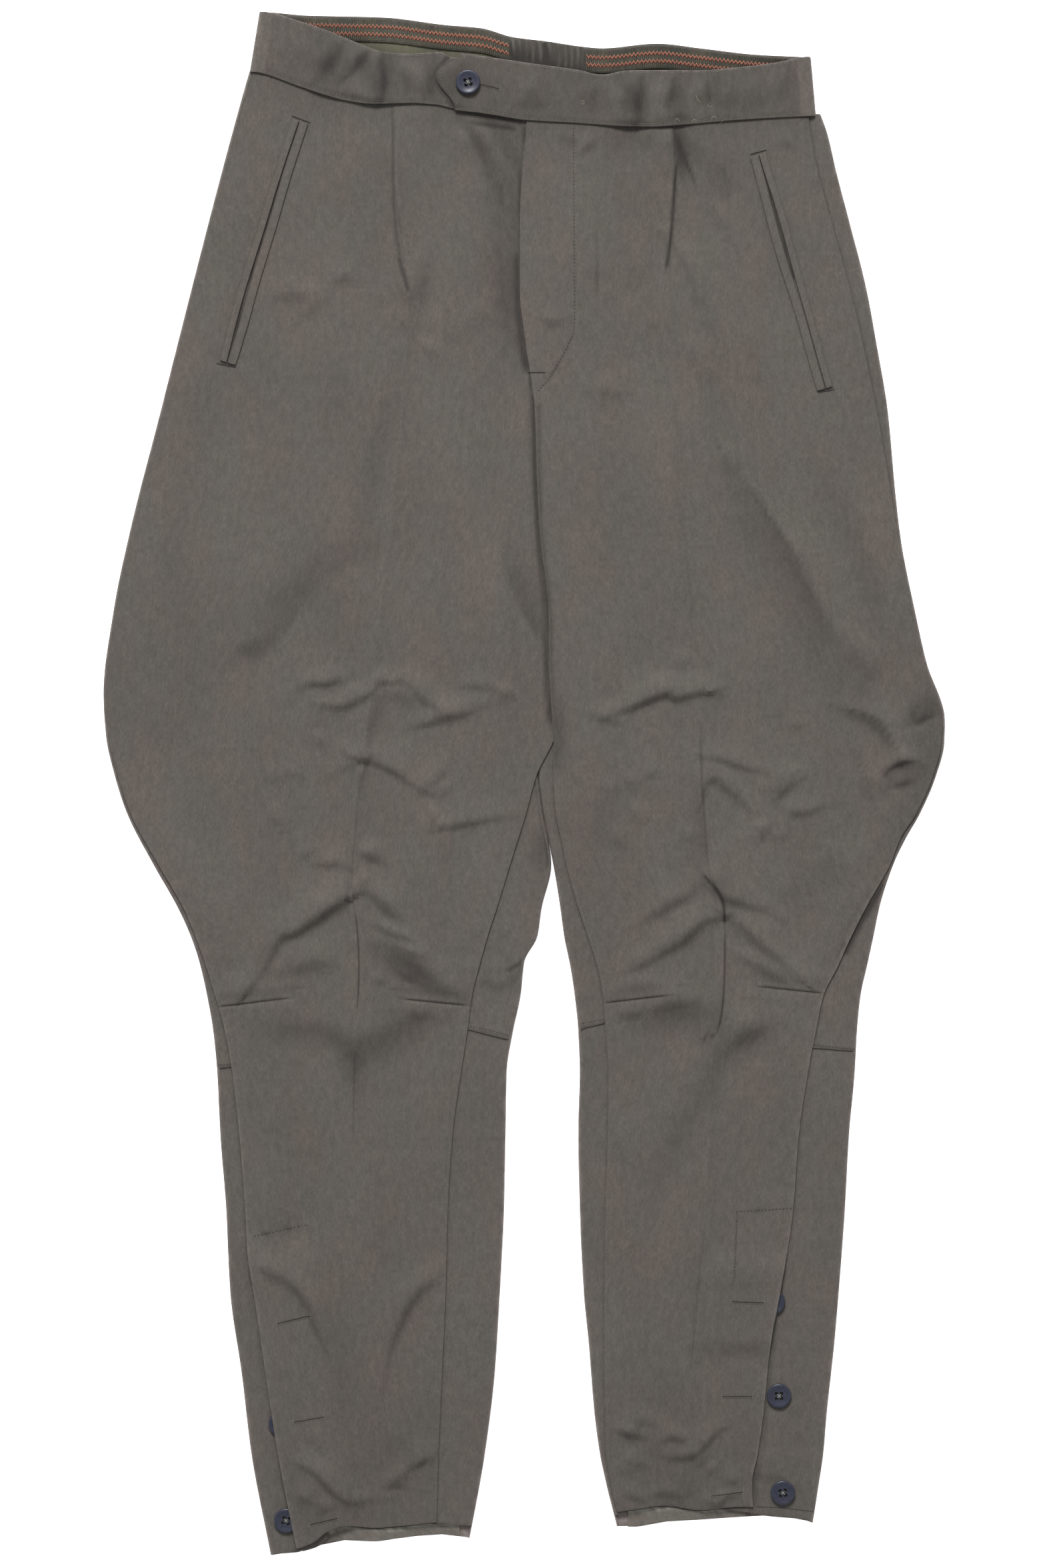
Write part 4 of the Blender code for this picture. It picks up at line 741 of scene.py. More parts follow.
def painted_light_and_shade(tones, x, drop):
    """Broad painted light and shade that fade away from their lines."""
    dark = np.zeros(x.shape)
    for tone in tones:
        here = near(tone.points, 2.5 * max(tone.far, tone.near), x, drop)
        if here.any():
            signed, share = beside_path(tone.points, x[here], drop[here])
            width = np.where(signed > 0, tone.far, tone.near)
            taper = 0.5 + 0.5 * smooth(np.minimum(share, 1 - share) / 0.25)
            dark[here] += tone.dark * taper * np.exp(-((signed / width) ** 2))
    return dark


def undulation(x, drop, seed):
    """The slight waviness of cloth that has been worn and laid down."""
    made = np.empty(x.size)
    for i, (a, b) in enumerate(zip(x.ravel(), drop.ravel())):
        broad = noise.noise(Vector((a / 52, b / 74, seed)))
        fine = noise.noise(Vector((a / 17, b / 24, seed + 7.3)))
        made[i] = 1.0 * broad + 0.28 * fine
    return made.reshape(x.shape)


class Side:
    """One leg's tables under one name, with the direction in which its x grows outwards."""

    def __init__(self, name, legs, hems, band_front, band_back, folds, out, fly_top):
        self.name = name
        self.legs = legs
        self.band_front = band_front
        self.band_back = band_back
        self.folds = folds
        self.out = out
        self.fly_top = fly_top
        drops = [leg.drop for leg in legs]
        self.columns = {name: Curve(drops, [getattr(leg, name) for leg in legs]) for name in Leg._fields[1:]}
        xs = [hem.x for hem in hems]
        self.hem_x = min(xs), max(xs)
        self.hems = {name: Curve(xs, [getattr(hem, name) for hem in hems]) for name in Hem._fields[1:]}

    def at(self, column, drop):
        return self.columns[column](drop)

    def hem(self, column, x):
        return self.hems[column](np.clip(x, *self.hem_x))

    def waist(self, x, rows):
        """Lower edge of the waistband over or beside a point of the waist."""
        ordered = sorted(rows, key=lambda row: row.x_bottom)
        return np.interp(x, [row.x_bottom for row in ordered], [row.bottom for row in ordered])

    def knee(self, x, stretch="ground"):
        seams = INNER_KNEE_SEAM if stretch == "inner_strip" else KNEE_SEAM
        (x_from, drop_from), (x_to, drop_to) = seams[self.name]
        return along(drop_from, drop_to, (x - x_from) / (x_to - x_from))

    def underlap(self, drop):
        return SEAM_LAP + (UNDERLAP - SEAM_LAP) * smooth((drop - PLACKET_TOP) / 30)

    def inner_turn(self, drop):
        return self.at("inner_fold", drop) + self.out * (CLOTH / 2 + FOLD_RADIUS)

    def inner_end(self, drop):
        turn = self.inner_turn(drop)
        seam = self.at("inseam", drop) + self.out * SEAM_LAP
        return turn + self.out * np.maximum(SEAM_ALLOWANCE, self.out * (seam - turn))


def front_base(side, x, drop):
    """Height of the middle of a front panel before its folds, and how far folds may act there."""
    out = side.out
    from_side = out * (side.at("side_seam", drop) - x)
    from_inner = out * (x - side.at("inseam", drop))
    held_inner = out * (side.inner_end(drop) - side.at("inseam", drop))
    sag = smooth((from_side - 12 - side.underlap(drop)) / 26) * smooth((from_inner - 9 - held_inner) / 26)
    waist_hold = 1 - smooth((drop - 100) / 60)
    base = FRONT_Z - (FRONT_Z - REST_Z) * sag * (1 - waist_hold)
    if side.fly_top:
        over = (1 - smooth((x - 46) / 34)) * (1 - smooth((drop - 560) / 40))
        base = base + (FLY_Z - base) * over
    base = base + placket_lift(side, from_side, drop)
    crease = side.at("crease", drop)
    pressed = smooth((drop - 60) / 80) * (1 - 0.6 * smooth((drop - 590) / 30) * smooth((760 - drop) / 30))
    base = base + CREASE_HEIGHT * np.exp(-((np.abs(x - crease) / CREASE_WIDTH) ** 1.3)) * pressed
    inside = out * (crease - x)
    pleated = PLEAT_HEIGHT * smooth((inside + 0.9) / 1.8) * np.exp(-np.maximum(0.0, inside) / PLEAT_WIDTH)
    pleated = pleated * (1 - smooth((drop - 130) / 90)) * smooth((drop - side.waist(x, side.band_front)) / 12)
    covered = np.where((drop < CROTCH) & (not side.fly_top), 26, 0)
    quiet = smooth(from_side / 14) * smooth((from_inner - covered) / 14)
    return base + pleated, quiet * smooth((drop - 80) / 14)


ButtonRide = namedtuple("ButtonRide", "top bottom spread")
BUTTON_RIDES = {"right": ButtonRide(896, 1100, 24), "left": ButtonRide(898, 930, 16)}
BUTTON_LIFT = 2.8


def placket_lift(side, from_side, drop):
    """The front's side edge rides over the calf buttons that it covers."""
    top, bottom, spread = BUTTON_RIDES[side.name]
    reach = 1 - smooth((from_side - 40) / 24)
    starts = smooth((drop - top + spread) / spread)
    return BUTTON_LIFT * reach * starts * smooth((bottom + 2 * spread - drop) / spread)


def front_columns():
    """Places across a front as (fixed distance, share of the width) from each part's outer edge."""
    edge = (0, 0.8, 1.8, 3.2, 5.2, 8)
    by_crease = (4.4, 3.2, 2.2, 1.4, 0.7, 0)
    outer = [(d, 0.0) for d in edge]
    outer += [(along(8, -4.4, t), t) for t in np.arange(1, 54) / 54]
    outer += [(-d, 1.0) for d in by_crease]
    inner = [(d, 0.0) for d in (0.7, 1.4, 2.2, 3.2, 4.4)]
    inner += [(along(4.4, -8, t), t) for t in np.arange(1, 38) / 38]
    inner += [(-d, 1.0) for d in reversed(edge)]
    return outer, inner


def front_rows(last):
    """Drops of the rows of a front, close together where it creases and at its darts and hem."""
    stretches = ((430, 3.2), (692, 2.3), (714, 0.85), (760, 2.4), (last - 60, 3.4), (last, 2.2))
    drops, at = [], 0.0
    for end, step in stretches:
        count = max(1, round((end - at) / step))
        drops += [along(at, end, k / count) for k in range(count)]
        at = end
    return np.array([*drops, last])


def bands_over(side, x):
    """Where a front's upper edge lies, hidden under the waistband."""
    from_side = side.out * (side.legs[0].side_seam - x)
    return side.waist(x, side.band_front) - along(1.0, WAIST_TUCK, smooth((from_side - 4) / 10))


FRONT_FOOT = {"right": 1081.0, "left": 1069.0}


def front_grid(side):
    """x and drop of each point of a front panel's grid."""
    top, foot = side.legs[0].drop, FRONT_FOOT[side.name]
    rows = front_rows(foot)
    nominal = np.concatenate(([top], rows[rows > top]))[:, None]
    outer, inner = (np.array(part) for part in front_columns())
    drop = np.repeat(nominal, len(outer) + len(inner), axis=1)
    for _ in range(4):
        seam, crease, inseam = (side.at(c, drop) for c in ("side_seam", "crease", "inseam"))
        width_out, width_in = np.abs(crease - seam), np.abs(inseam - crease)
        split = len(outer)
        share_out = outer[:, 1] + outer[:, 0] / width_out[:, :split]
        share_in = inner[:, 1] + inner[:, 0] / width_in[:, split:]
        x_out = along(seam[:, :split], crease[:, :split], share_out)
        x = np.hstack((x_out, along(crease[:, split:], inseam[:, split:], share_in)))
        lift = bands_over(side, x) - top
        reach = side.hem("front", x) - foot
        drop = nominal + lift * (1 - smooth((nominal - top) / TOP_FADE))
        drop = drop + reach * smooth(1 - (foot - nominal) / HEM_FADE)
    return x, drop


def cloth_shell(name, x, drop, z, thickness, material, weave=None, shade=None, wear_and_painted_light=None, round_edge=0.3):
    """A grid of points made a mesh, with a wall of the given thickness round its middle."""
    rows, columns = x.shape
    places = np.stack((x * MM, (LENGTH / 2 - drop) * MM, z * MM), axis=-1).reshape(-1, 3)
    index = np.arange(rows * columns).reshape(rows, columns)
    quads = np.stack((index[:-1, :-1], index[1:, :-1], index[1:, 1:], index[:-1, 1:]), axis=-1)
    mesh = bpy.data.meshes.new(name)
    mesh.from_pydata(places.tolist(), [], quads.reshape(-1, 4).tolist())
    corners = np.empty(len(mesh.loops), np.int32)
    mesh.loops.foreach_get("vertex_index", corners)
    flat = np.stack((x, -drop), axis=-1) if weave is None else weave
    layer = mesh.uv_layers.new(name="weave")
    layer.data.foreach_set("uv", (flat.reshape(-1, 2)[corners] * MM).ravel())
    # Painted shade and light, and the paleness of wear and painted light, at each point.
    for attribute, values in (("shade", shade), ("wear_and_painted_light", wear_and_painted_light)):
        made = mesh.attributes.new(attribute, "FLOAT", "POINT")
        values = np.zeros(x.shape) if values is None else np.clip(values, -0.4, 1)
        made.data.foreach_set("value", values.astype(np.float32).ravel())
    mesh.shade_smooth()
    obj = add_piece(name, mesh, material)
    wall = obj.modifiers.new("wall", "SOLIDIFY")
    wall.thickness = thickness * MM
    wall.offset = 0
    wall.use_even_offset = True
    if round_edge:
        rounding = obj.modifiers.new("rounded edge", "BEVEL")
        rounding.width = round_edge * MM
        rounding.segments = 2
        rounding.limit_method = "ANGLE"
        rounding.angle_limit = radians(60)
    return obj


def add_piece(name, mesh, material):
    obj = bpy.data.objects.new(name, mesh)
    mesh.materials.clear()
    mesh.materials.append(material)
    bpy.context.scene.collection.objects.link(obj)
    return obj


def dart_lines(side):
    return [
        Line(((d.x_from, d.drop_from), (d.x_to, d.drop_to)), 1.3, 0.75, 1.0) for d in KNEE_DARTS[side.name]
    ]


def dart_puffs(side):
    """The cloth that a dart takes in swells a little above and below its seam."""
    puffs = []
    for dart in KNEE_DARTS[side.name]:
        ends = sorted(((dart.x_from, dart.drop_from), (dart.x_to, dart.drop_to)))
        for shift, height in ((-7, 1.5), (9, 0.7)):
            path = tuple((x, drop + shift) for x, drop in ends)
            puffs.append(Fold(path, height, 8, 6, 0.0, 0.5, 0.4, 0.4))
    return puffs


def from_edges(side, x, drop):
    """Distance from the nearer of a front's two long edges."""
    return np.minimum(side.out * (side.at("side_seam", drop) - x), side.out * (x - side.at("inseam", drop)))


def make_front(side, material):
    """One front from waist to hem, with its pleat, crease, darts and folds."""
    x, drop = front_grid(side)
    base, quiet = front_base(side, x, drop)
    hem_quiet = smooth((side.hem("front", x) - drop) / 8)
    folded, dark = relief([*side.folds, *dart_puffs(side)], x, drop)
    depth, painted_shade_in_lines = grooves([*dart_lines(side), *SHARP_LINES[side.name]], x, drop)
    wavy = undulation(x, drop, 3.0 if side.fly_top else 11.0)
    z = base + quiet * (folded + wavy * (0.4 + 0.6 * hem_quiet)) - depth
    laid = smooth((from_edges(side, x, drop) - 30) / 20) * smooth((drop - side.hem("front", x) + 24) / 24)
    z = z - np.maximum(0, z - HEM_REST_Z) * laid * 0.8
    over_lowest = z - LOWEST_FRONT_Z - 1
    z = np.where(z < LOWEST_FRONT_Z + 1, LOWEST_FRONT_Z + np.exp(np.minimum(over_lowest, 0)), z)
    crease = side.at("crease", drop)
    weave = np.stack((x - crease + side.at("crease", 400.0), -drop), axis=-1)
    edge = side.out * (side.at("side_seam", drop) - x)
    worn = 0.25 * np.exp(-np.maximum(0, edge) / 1.2) * smooth((drop - 600) / 60)
    painted_shadow_under_band = np.exp(-np.maximum(0, drop - side.waist(x, side.band_front)) / 20)
    low = smooth((drop - 940) / 80)
    # Painted shade and light of folds, grooves and tones, painted shadows, darker towards the hem.
    shade = quiet * dark * 0.9 + painted_shade_in_lines + painted_light_and_shade(FRONT_PAINTED_LIGHT_AND_SHADE[side.name], x, drop) + 0.28 * painted_shadow_under_band + 0.1 * low
    shade = np.maximum(shade, shadowed(FRONT_SHADOWS[side.name], x, drop))
    return cloth_shell(f"front_{side.name}_cloth", x, drop, z, CLOTH, material, weave, shade, worn)


def back_section_places():
    """Places round a back piece, as (stretch, how far along it, fold angle)."""
    strip = [("side_strip", t, pi) for t in np.linspace(1, 0, 15)[:-1]]
    side_fold = [("side_fold", 0.0, pi * t / 8) for t in range(8, 0, -1)]
    ground = [("ground", t, 0.0) for t in np.linspace(0, 1, 9)]
    inner_fold = [("inner_fold", 0.0, pi * t / 8) for t in range(1, 9)]
    inner = [("inner_strip", t, pi) for t in np.linspace(0, 1, 15)[1:]]
    return strip + side_fold + ground + inner_fold + inner


def back_section(side, stretch, t, angle, drop):
    """x and z of one of the places round a back piece, at each drop."""
    out, half = side.out, CLOTH / 2
    side_x = side.at("side_fold", drop) - out * (half + FOLD_RADIUS)
    inner_x = side.inner_turn(drop)
    if stretch == "ground":
        return along(side_x, inner_x, t), GROUND_Z
    if stretch.endswith("fold"):
        centre, way = (side_x, out) if stretch == "side_fold" else (inner_x, -out)
        return centre + way * FOLD_RADIUS * sin(angle), GROUND_Z + FOLD_RADIUS * (1 - cos(angle))
    if stretch == "side_strip":
        seam_x = side.at("side_seam", drop) - out * side.underlap(drop)
        end = side_x - out * np.maximum(3.0, out * (side_x - seam_x))
        return along(side_x, end, t), STRIP_Z
    return along(inner_x, side.inner_end(drop), t), STRIP_Z


def back_grid(side, piece, rows):
    """x, drop, z, wear and distance above the knee seam of each point of a thigh or calf piece."""
    legs = side.legs
    middle = sum(p[1] for p in KNEE_SEAM[side.name]) / 2
    start, end = (legs[0].drop, middle) if piece == "thigh" else (middle, legs[-1].drop)
    nominal = np.linspace(start, end, rows)
    made = []
    for stretch, t, angle in back_section_places():
        on_top = stretch.endswith("strip") or angle > pi / 2
        drop = nominal
        for _ in range(4):
            x, z = back_section(side, stretch, t, angle, drop)
            if piece == "thigh":
                waist = side.waist(x, side.band_front if on_top else side.band_back)
                first, last = waist - (2.0 if on_top else 0.0), side.knee(x, stretch) + 0.2
            else:
                first = side.knee(x, stretch) - (1.0 if on_top else 0.2)
                last = side.hem("strip" if on_top else "back", x)
            fade_first = 1 - smooth((nominal - start) / TOP_FADE)
            fade_last = smooth(1 - (end - nominal) / HEM_FADE)
            drop = nominal + (first - start) * fade_first + (last - end) * fade_last
        x, z = back_section(side, stretch, t, angle, drop)
        # The fold edges are worn pale by rubbing.
        pale_blend = 0.8 * np.exp(-(((angle - pi / 2) / 0.9) ** 2)) if "fold" in stretch else 0.0
        worn = pale_blend * (smooth((drop - 600) / 30) if stretch == "inner_fold" else 1.0)
        made.append((x, drop, np.full(rows, z), np.broadcast_to(worn, rows), side.knee(x, stretch) - drop))
    return [np.array(column).T for column in zip(*made)]


BACK_ROWS = {"thigh": 210, "calf": 106}


def make_back(side, piece, material):
    """A thigh or calf piece: the ground half, the folds at both sides and the strips on top."""
    x, drop, z, worn, above_knee = back_grid(side, piece, BACK_ROWS[piece])
    on_top = z > STRIP_Z - 0.01
    waves = np.where(on_top, 0.25 * undulation(x, drop, 21.0), 0)
    edge = above_knee if piece == "thigh" else -above_knee
    turned = 0.5 * smooth((8 - edge) / 3) if piece == "thigh" else 0.0
    tucked = 0.5 * smooth((7 - edge) / 6) if piece == "calf" else 0.0
    z = np.where(on_top, z + np.minimum(waves, 0.2) + turned * 0.4 - tucked, z)
    past_side = side.out * (x - side.at("side_seam", drop))
    past_inner = side.out * (side.at("inseam", drop) - x)
    # Painted shadow beside the front's edges and along the knee seam, darkest on the calf.
    painted_shadow_beside_front = 0.6 * np.exp(-np.abs(past_side) / 0.7) + 0.15 * np.exp(-np.abs(past_inner) / 0.7)
    under_seam = 0.85 if piece == "calf" else 0.3
    seam_shade = under_seam * np.exp(-np.maximum(edge, 0) / 0.7)
    shade = np.where(on_top, np.maximum(seam_shade, painted_shadow_beside_front), 0)
    shade = np.maximum(shade, np.where(on_top, shadowed(BACK_SHADOWS[side.name], x, drop), 0))
    # A painted highlight along the thigh piece's rolled lower edge.
    painted_highlight_on_rolled_edge = 0.22 * np.exp(-(((edge - 1.8) / 1.0) ** 2)) if piece == "thigh" else 0.0
    shade = shade - np.where(on_top, painted_highlight_on_rolled_edge, 0)
    # Where the ground shows below the strip's hem: a painted dark line, then painted light.
    below_strip = drop - side.hem("strip", x)
    painted_hem_light_and_shadow = -0.4 + 0.6 * np.exp(-np.maximum(0, below_strip) / 0.7)
    hem_shows = (piece == "calf") & ~on_top & (below_strip > -2)
    shade = np.where(hem_shows, painted_hem_light_and_shadow, shade)
    # The pale colour blended in there is painted light over the strip's shadow.
    worn = np.where(hem_shows, np.maximum(worn, 0.7), worn)
    return cloth_shell(f"back_{piece}_{side.name}_cloth", x, drop, z, CLOTH, material, None, shade, worn)


def band_stations(front, back, out):
    """The stations of one half of the waistband, with those round its side fold."""
    radius = (front[-1].z - back[0].z) / 2
    middle = (front[-1].z + back[0].z) / 2
    turn = []
    for angle in (pi * 0.15, pi * 0.3, pi * 0.5, pi * 0.7, pi * 0.85):
        across = out * radius * sin(angle)
        t = angle / pi
        turn.append(
            BandRow(
                front[-1].x_top + across,
                along(front[-1].top, back[0].top, t),
                front[-1].x_bottom + across,
                along(front[-1].bottom, back[0].bottom, t),
                middle + radius * cos(angle),
            )
        )
    return [*front, *turn, *back]


# Folds of the waistband's front, with painted shade along each path.
BAND_FOLDS = {
    "right": (
        Fold(((-102, 65), (-100, 52), (-102, 38), (-101, 30)), 2.8, 8, 3.4, 0.45, 0.5, 0.7, 0.5),
        Fold(((-124, 45), (-117, 37), (-110, 27)), 3.0, 9, 5, 0.4, 0.5, 0.5, 0.5),
        Fold(((-147, 48), (-139, 38), (-131, 26)), 2.4, 9, 6, 0.34, 0.4, 0.4, 0.5),
        Fold(((-90, 33), (-86, 48), (-84, 62)), 1.4, 8, 4, 0.15),
        Fold(((-60, 62), (-66, 52), (-68, 38)), 1.6, 7, 5, 0.3),
        Fold(((-172, 14), (-168, 30), (-172, 46)), 1.4, 12, 8, 0.14),
        Fold(((-135, 58), (-120, 62), (-106, 64)), 1.2, 7, 3, 0.2),
    ),
    "left": (
        Fold(((81, 77), (82, 62), (84, 46)), 3.4, 9, 5, 0.4, 0.5, 0.6, 0.5),
        Fold(((103, 72), (104, 62), (106, 50)), 2.6, 7, 4, 0.4, 0.5, 0.4, 0.4),
        Fold(((133, 70), (131, 60), (130, 46)), 2.6, 7, 3.4, 0.4),
        Fold(((62, 50), (60, 62), (62, 78)), 1.4, 8, 4, 0.2),
        Fold(((174, 68), (166, 58), (158, 46)), 1.6, 10, 6, 0.18),
        Fold(((18, 62), (12, 52), (14, 42)), 1.2, 10, 6, 0.14),
        Fold(((52, 72), (50, 60), (50, 48)), 1.4, 8, 4, 0.2),
        Fold(((98, 79), (110, 76), (124, 77)), 1.2, 6, 3, 0.16),
        Fold(((-28, 40), (-24, 52), (-28, 70)), 0.9, 8, 5, 0.12),
        Fold(((-46, 36), (-57, 44), (-58, 50), (-49, 66)), 1.4, 5, 3, 0.0, 0.5, 0.8, 0.8),
        Fold(((0, 70), (8, 58), (6, 46)), 1.2, 12, 8, 0.06),
        Fold(((-14, 66), (4, 68), (24, 66)), 1.0, 8, 5, 0.1),
        Fold(((146, 74), (150, 60), (148, 46)), 1.6, 8, 5, 0.16),
        Fold(((186, 70), (184, 56), (188, 42)), 1.4, 9, 6, 0.14),
    ),
}
BAND_SHADOWS = {
    "right": (
        Shadow(((-49, 29), (-54.5, 34), (-60.5, 39.5), (-64, 46), (-61.5, 54), (-56, 62), (-50.5, 69.5)),
               2.2, 0.95),
    ),
    "left": (
        Shadow(((-49, 47), (-47.5, 58), (-40, 62.5), (-32, 58)), 1.6, 0.5),
    ),
}
# An even darkening of the band's front, and the painted light and shade over its lumps.
BAND_SHADE = 0.3
BAND_PAINTED_LIGHT_AND_SHADE = {
    "right": (
        Tone(((-146, 30), (-132, 44)), 0.26, 8, 8),
        Tone(((-118, 30), (-112, 46)), 0.24, 5, 5),
        Tone(((-104, 62), (-100, 32)), 0.3, 8, 6),
        Tone(((-84, 44), (-80, 62)), 0.14, 5, 5),
        Tone(((-92, 36), (-80, 40), (-70, 50)), -0.14, 6, 8),
        Tone(((-66, 34), (-68, 64)), 0.3, 6, 9),
        Tone(((-180, 10), (-164, 40)), -0.1, 12, 12),
        Tone(((-122, 34), (-114, 60)), -0.1, 6, 6),
    ),
    "left": (
        Tone(((-57, 44), (-54, 52), (-48, 64)), 0.34, 9, 9),
        Tone(((-52, 38), (-40, 34)), 0.12, 7, 7),
        Tone(((-24, 42), (6, 48), (34, 54)), -0.06, 9, 9),
        Tone(((44, 52), (50, 76)), 0.16, 8, 8),
        Tone(((74, 50), (81, 76)), 0.42, 8, 6),
        Tone(((62, 56), (66, 76)), -0.14, 5, 5),
        Tone(((94, 50), (96, 74)), -0.2, 5, 5),
        Tone(((108, 50), (110, 78)), 0.3, 5, 5),
        Tone(((62, 80), (92, 81)), 0.2, 3, 3),
        Tone(((120, 50), (122, 76)), -0.1, 5, 5),
        Tone(((136, 46), (140, 76)), 0.16, 8, 8),
        Tone(((190, 40), (196, 72)), 0.1, 10, 10),
    ),
}


BAND_STEP = 1.7
TAB_SLANT = 4.5
TAB_TIP = 0.34


def make_waistband(side, material):
    """One half of the waistband, front wall, side fold and back wall in one piece."""
    stations = band_stations(side.band_front, side.band_back, side.out)
    steps = [0.0]
    for a, b in zip(stations, stations[1:]):
        steps.append(steps[-1] + hypot((a.x_top + a.x_bottom - b.x_top - b.x_bottom) / 2, a.z - b.z))
    columns = {name: Curve(steps, [getattr(s, name) for s in stations]) for name in BandRow._fields}
    stretches = [np.linspace(a, b, max(2, round((b - a) / BAND_STEP)))[:-1] for a, b in zip(steps, steps[1:])]
    fine = np.concatenate([*stretches, steps[-1:]])
    share = np.concatenate(([0, 0.015, 0.04], np.linspace(0.075, 0.925, 24), [0.96, 0.985, 1.0]))[:, None]
    here = {name: curve(fine)[None, :] for name, curve in columns.items()}
    x = along(here["x_top"], here["x_bottom"], share)
    drop = along(here["top"], here["bottom"], share)
    z = np.repeat(here["z"], len(share), axis=0)
    if side.name == "left":
        rise = np.where(share < TAB_TIP, smooth(share / TAB_TIP), smooth((1 - share) / 0.56))
        bend = np.maximum(0, 1 - fine[None, :] / TAB_BEND)
        x = x + (-TAB_REACH * rise - TAB_SLANT * share * (1 - rise)) * bend
    on_front = fine[None, :] < steps[len(side.band_front) - 1] - 6
    folded, dark = relief(BAND_FOLDS[side.name], x, drop)
    edges = smooth(np.minimum(share, 1 - share) / 0.12)
    z = z + np.where(on_front, folded * (0.25 + 0.75 * edges) + 0.35 * undulation(x, drop, 31.0) * edges, 0)
    z = z - np.where(on_front, 0.3 * smooth((share - 0.88) / 0.1), 0)
    seam = np.exp(-np.abs(share - 0.935) / 0.012) * 0.25
    # Painted shade of the folds, an even darkening, painted light and shade, painted shadow at the tab.
    darkening_and_painted_band_shade = BAND_SHADE + painted_light_and_shade(BAND_PAINTED_LIGHT_AND_SHADE[side.name], x, drop)
    shade = np.maximum(dark + seam + darkening_and_painted_band_shade, shadowed(BAND_SHADOWS[side.name], x, drop))
    shade = np.where(on_front, shade, 0)
    # A painted highlight along the front's folded top edge, and the side fold worn pale.
    worn = np.where(on_front, 0.45 * np.exp(-share / 0.02), 0) + np.exp(-(((z - 4) / 2) ** 2)) * 0.5
    return cloth_shell(f"waistband_{side.name}_cloth", x, drop, z, BAND, material, None, shade, worn, 0.55)


# A strip's shade is its painted shade, and painted light below zero.
InsideStrip = namedtuple("InsideStrip", "kind side x_from x_to below depth z thickness ruffle shade")
INSIDE_STRIPS = (
    InsideStrip("waist_lining", "right", -172, -12, 12, 27, LINING_Z, LINING, 0.25, -0.3),
    InsideStrip("waist_lining", "left", 46, 184, 12, 27, LINING_Z, LINING, 0.25, 0.3),
    InsideStrip("waist_tape", "right", -176, -9.6, 2.2, 16, TAPE_Z, LINING, 0.12, 0.0),
    InsideStrip("waist_tape", "left", 43.6, 188, 2.2, 16, TAPE_Z, LINING, 0.12, 0.35),
    InsideStrip("centre_back_facing", "right", -9, 16.2, 1.2, 38, LINING_Z + 0.1, CLOTH, 1.2, 0.12),
    InsideStrip("centre_back_facing", "left", 16.2, 43, 1.2, 38, LINING_Z + 0.1, CLOTH, 1.2, 0.2),
)
STRIP_SLOTS = {"waist_lining": "lining_cotton", "waist_tape": "waist_tape", "centre_back_facing": "gabardine"}

# Upper edge of the tab that crosses over from the wearer's left half of the band.
TAB_TOP = Curve((-60, -45, -20, 0), (44, 31.2, 34.4, 37.5))

# Painted shadows behind the front band's top edge and patches of painted light, inside the waist.
INSIDE_PAINTED_LIGHT_AND_SHADE = (
    Tone(((-146, 18), (-124, 22), (-92, 30)), 0.55, 6, 6),
    Tone(((-76, 26), (-50, 29)), 0.5, 5, 5),
    Tone(((-30, 30), (6, 34)), 0.4, 7, 7),
    Tone(((-120, 16), (-90, 19), (-66, 22)), -0.2, 5, 5),
    Tone(((50, 36), (66, 42)), -0.25, 6, 6),
    Tone(((14, 21), (17, 36)), 0.4, 3, 3),
    Tone(((96, 38), (140, 40)), 0.3, 5, 5),
)


def back_waist_top(side, x):
    """Drop of the upper edge of the back of the waist."""
    rows = side.band_back
    return Curve([row.x_top for row in rows], [row.top for row in rows])(x)


def make_inside_strip(strip, side, material):
    """A strip of lining, tape or facing on the inside of the back wall, gathered where it is ruffled."""
    columns = max(12, round(abs(strip.x_to - strip.x_from) / 0.8))
    x = np.linspace(strip.x_from, strip.x_to, columns)[None, :]
    share = np.linspace(0, 1, 16)[:, None]
    drop = back_waist_top(side, x) + strip.below + strip.depth * share
    drop = drop + 0.6 * strip.ruffle * np.sin(x / 1.7 + np.sin(x / 6)) * (1 - share)
    x = np.repeat(x, len(share), axis=0)
    pucker = x / 0.85 + 1.3 * np.sin(drop / 7.0) + 1.6 * np.sin(x / 5.3)
    gathers = np.maximum(0, np.sin(pucker)) * (0.6 + 0.4 * np.sin(x / 3.9 + drop / 6.0))
    wavy = undulation(x * 2.2, drop * 1.4, 41.0)
    inner = smooth(np.minimum(share, 1 - share) / 0.15)
    z = strip.z + strip.ruffle * (gathers * 0.8 + 0.5 * np.abs(wavy)) * inner
    front = side.band_front
    band_top = Curve([row.x_top for row in front], [row.top for row in front])(x)
    band_top = np.where((x > -60) & (x < 0), np.minimum(band_top, TAB_TOP(x)), band_top)
    # Painted shade in the gathers' hollows and a painted shadow under the front band's top edge.
    shade = strip.shade + 0.4 * strip.ruffle * (1 - gathers)
    shade = shade + 0.55 * np.exp(-np.maximum(0, band_top - drop) / 4) + painted_light_and_shade(INSIDE_PAINTED_LIGHT_AND_SHADE, x, drop)
    weave = np.stack((x - strip.x_from, -(drop - back_waist_top(side, x) - strip.below)), axis=-1)
    name = f"{strip.kind}_{strip.side}_cloth"
    return cloth_shell(name, x, drop, z, strip.thickness, material, weave, shade, None, 0.15)


HEM_FACINGS = {"right": (-158, -46), "left": (74, 158)}
HEM_FACING = 0.9
HEM_FACING_DEPTH = 17.0
DIAGONAL = 0.7071


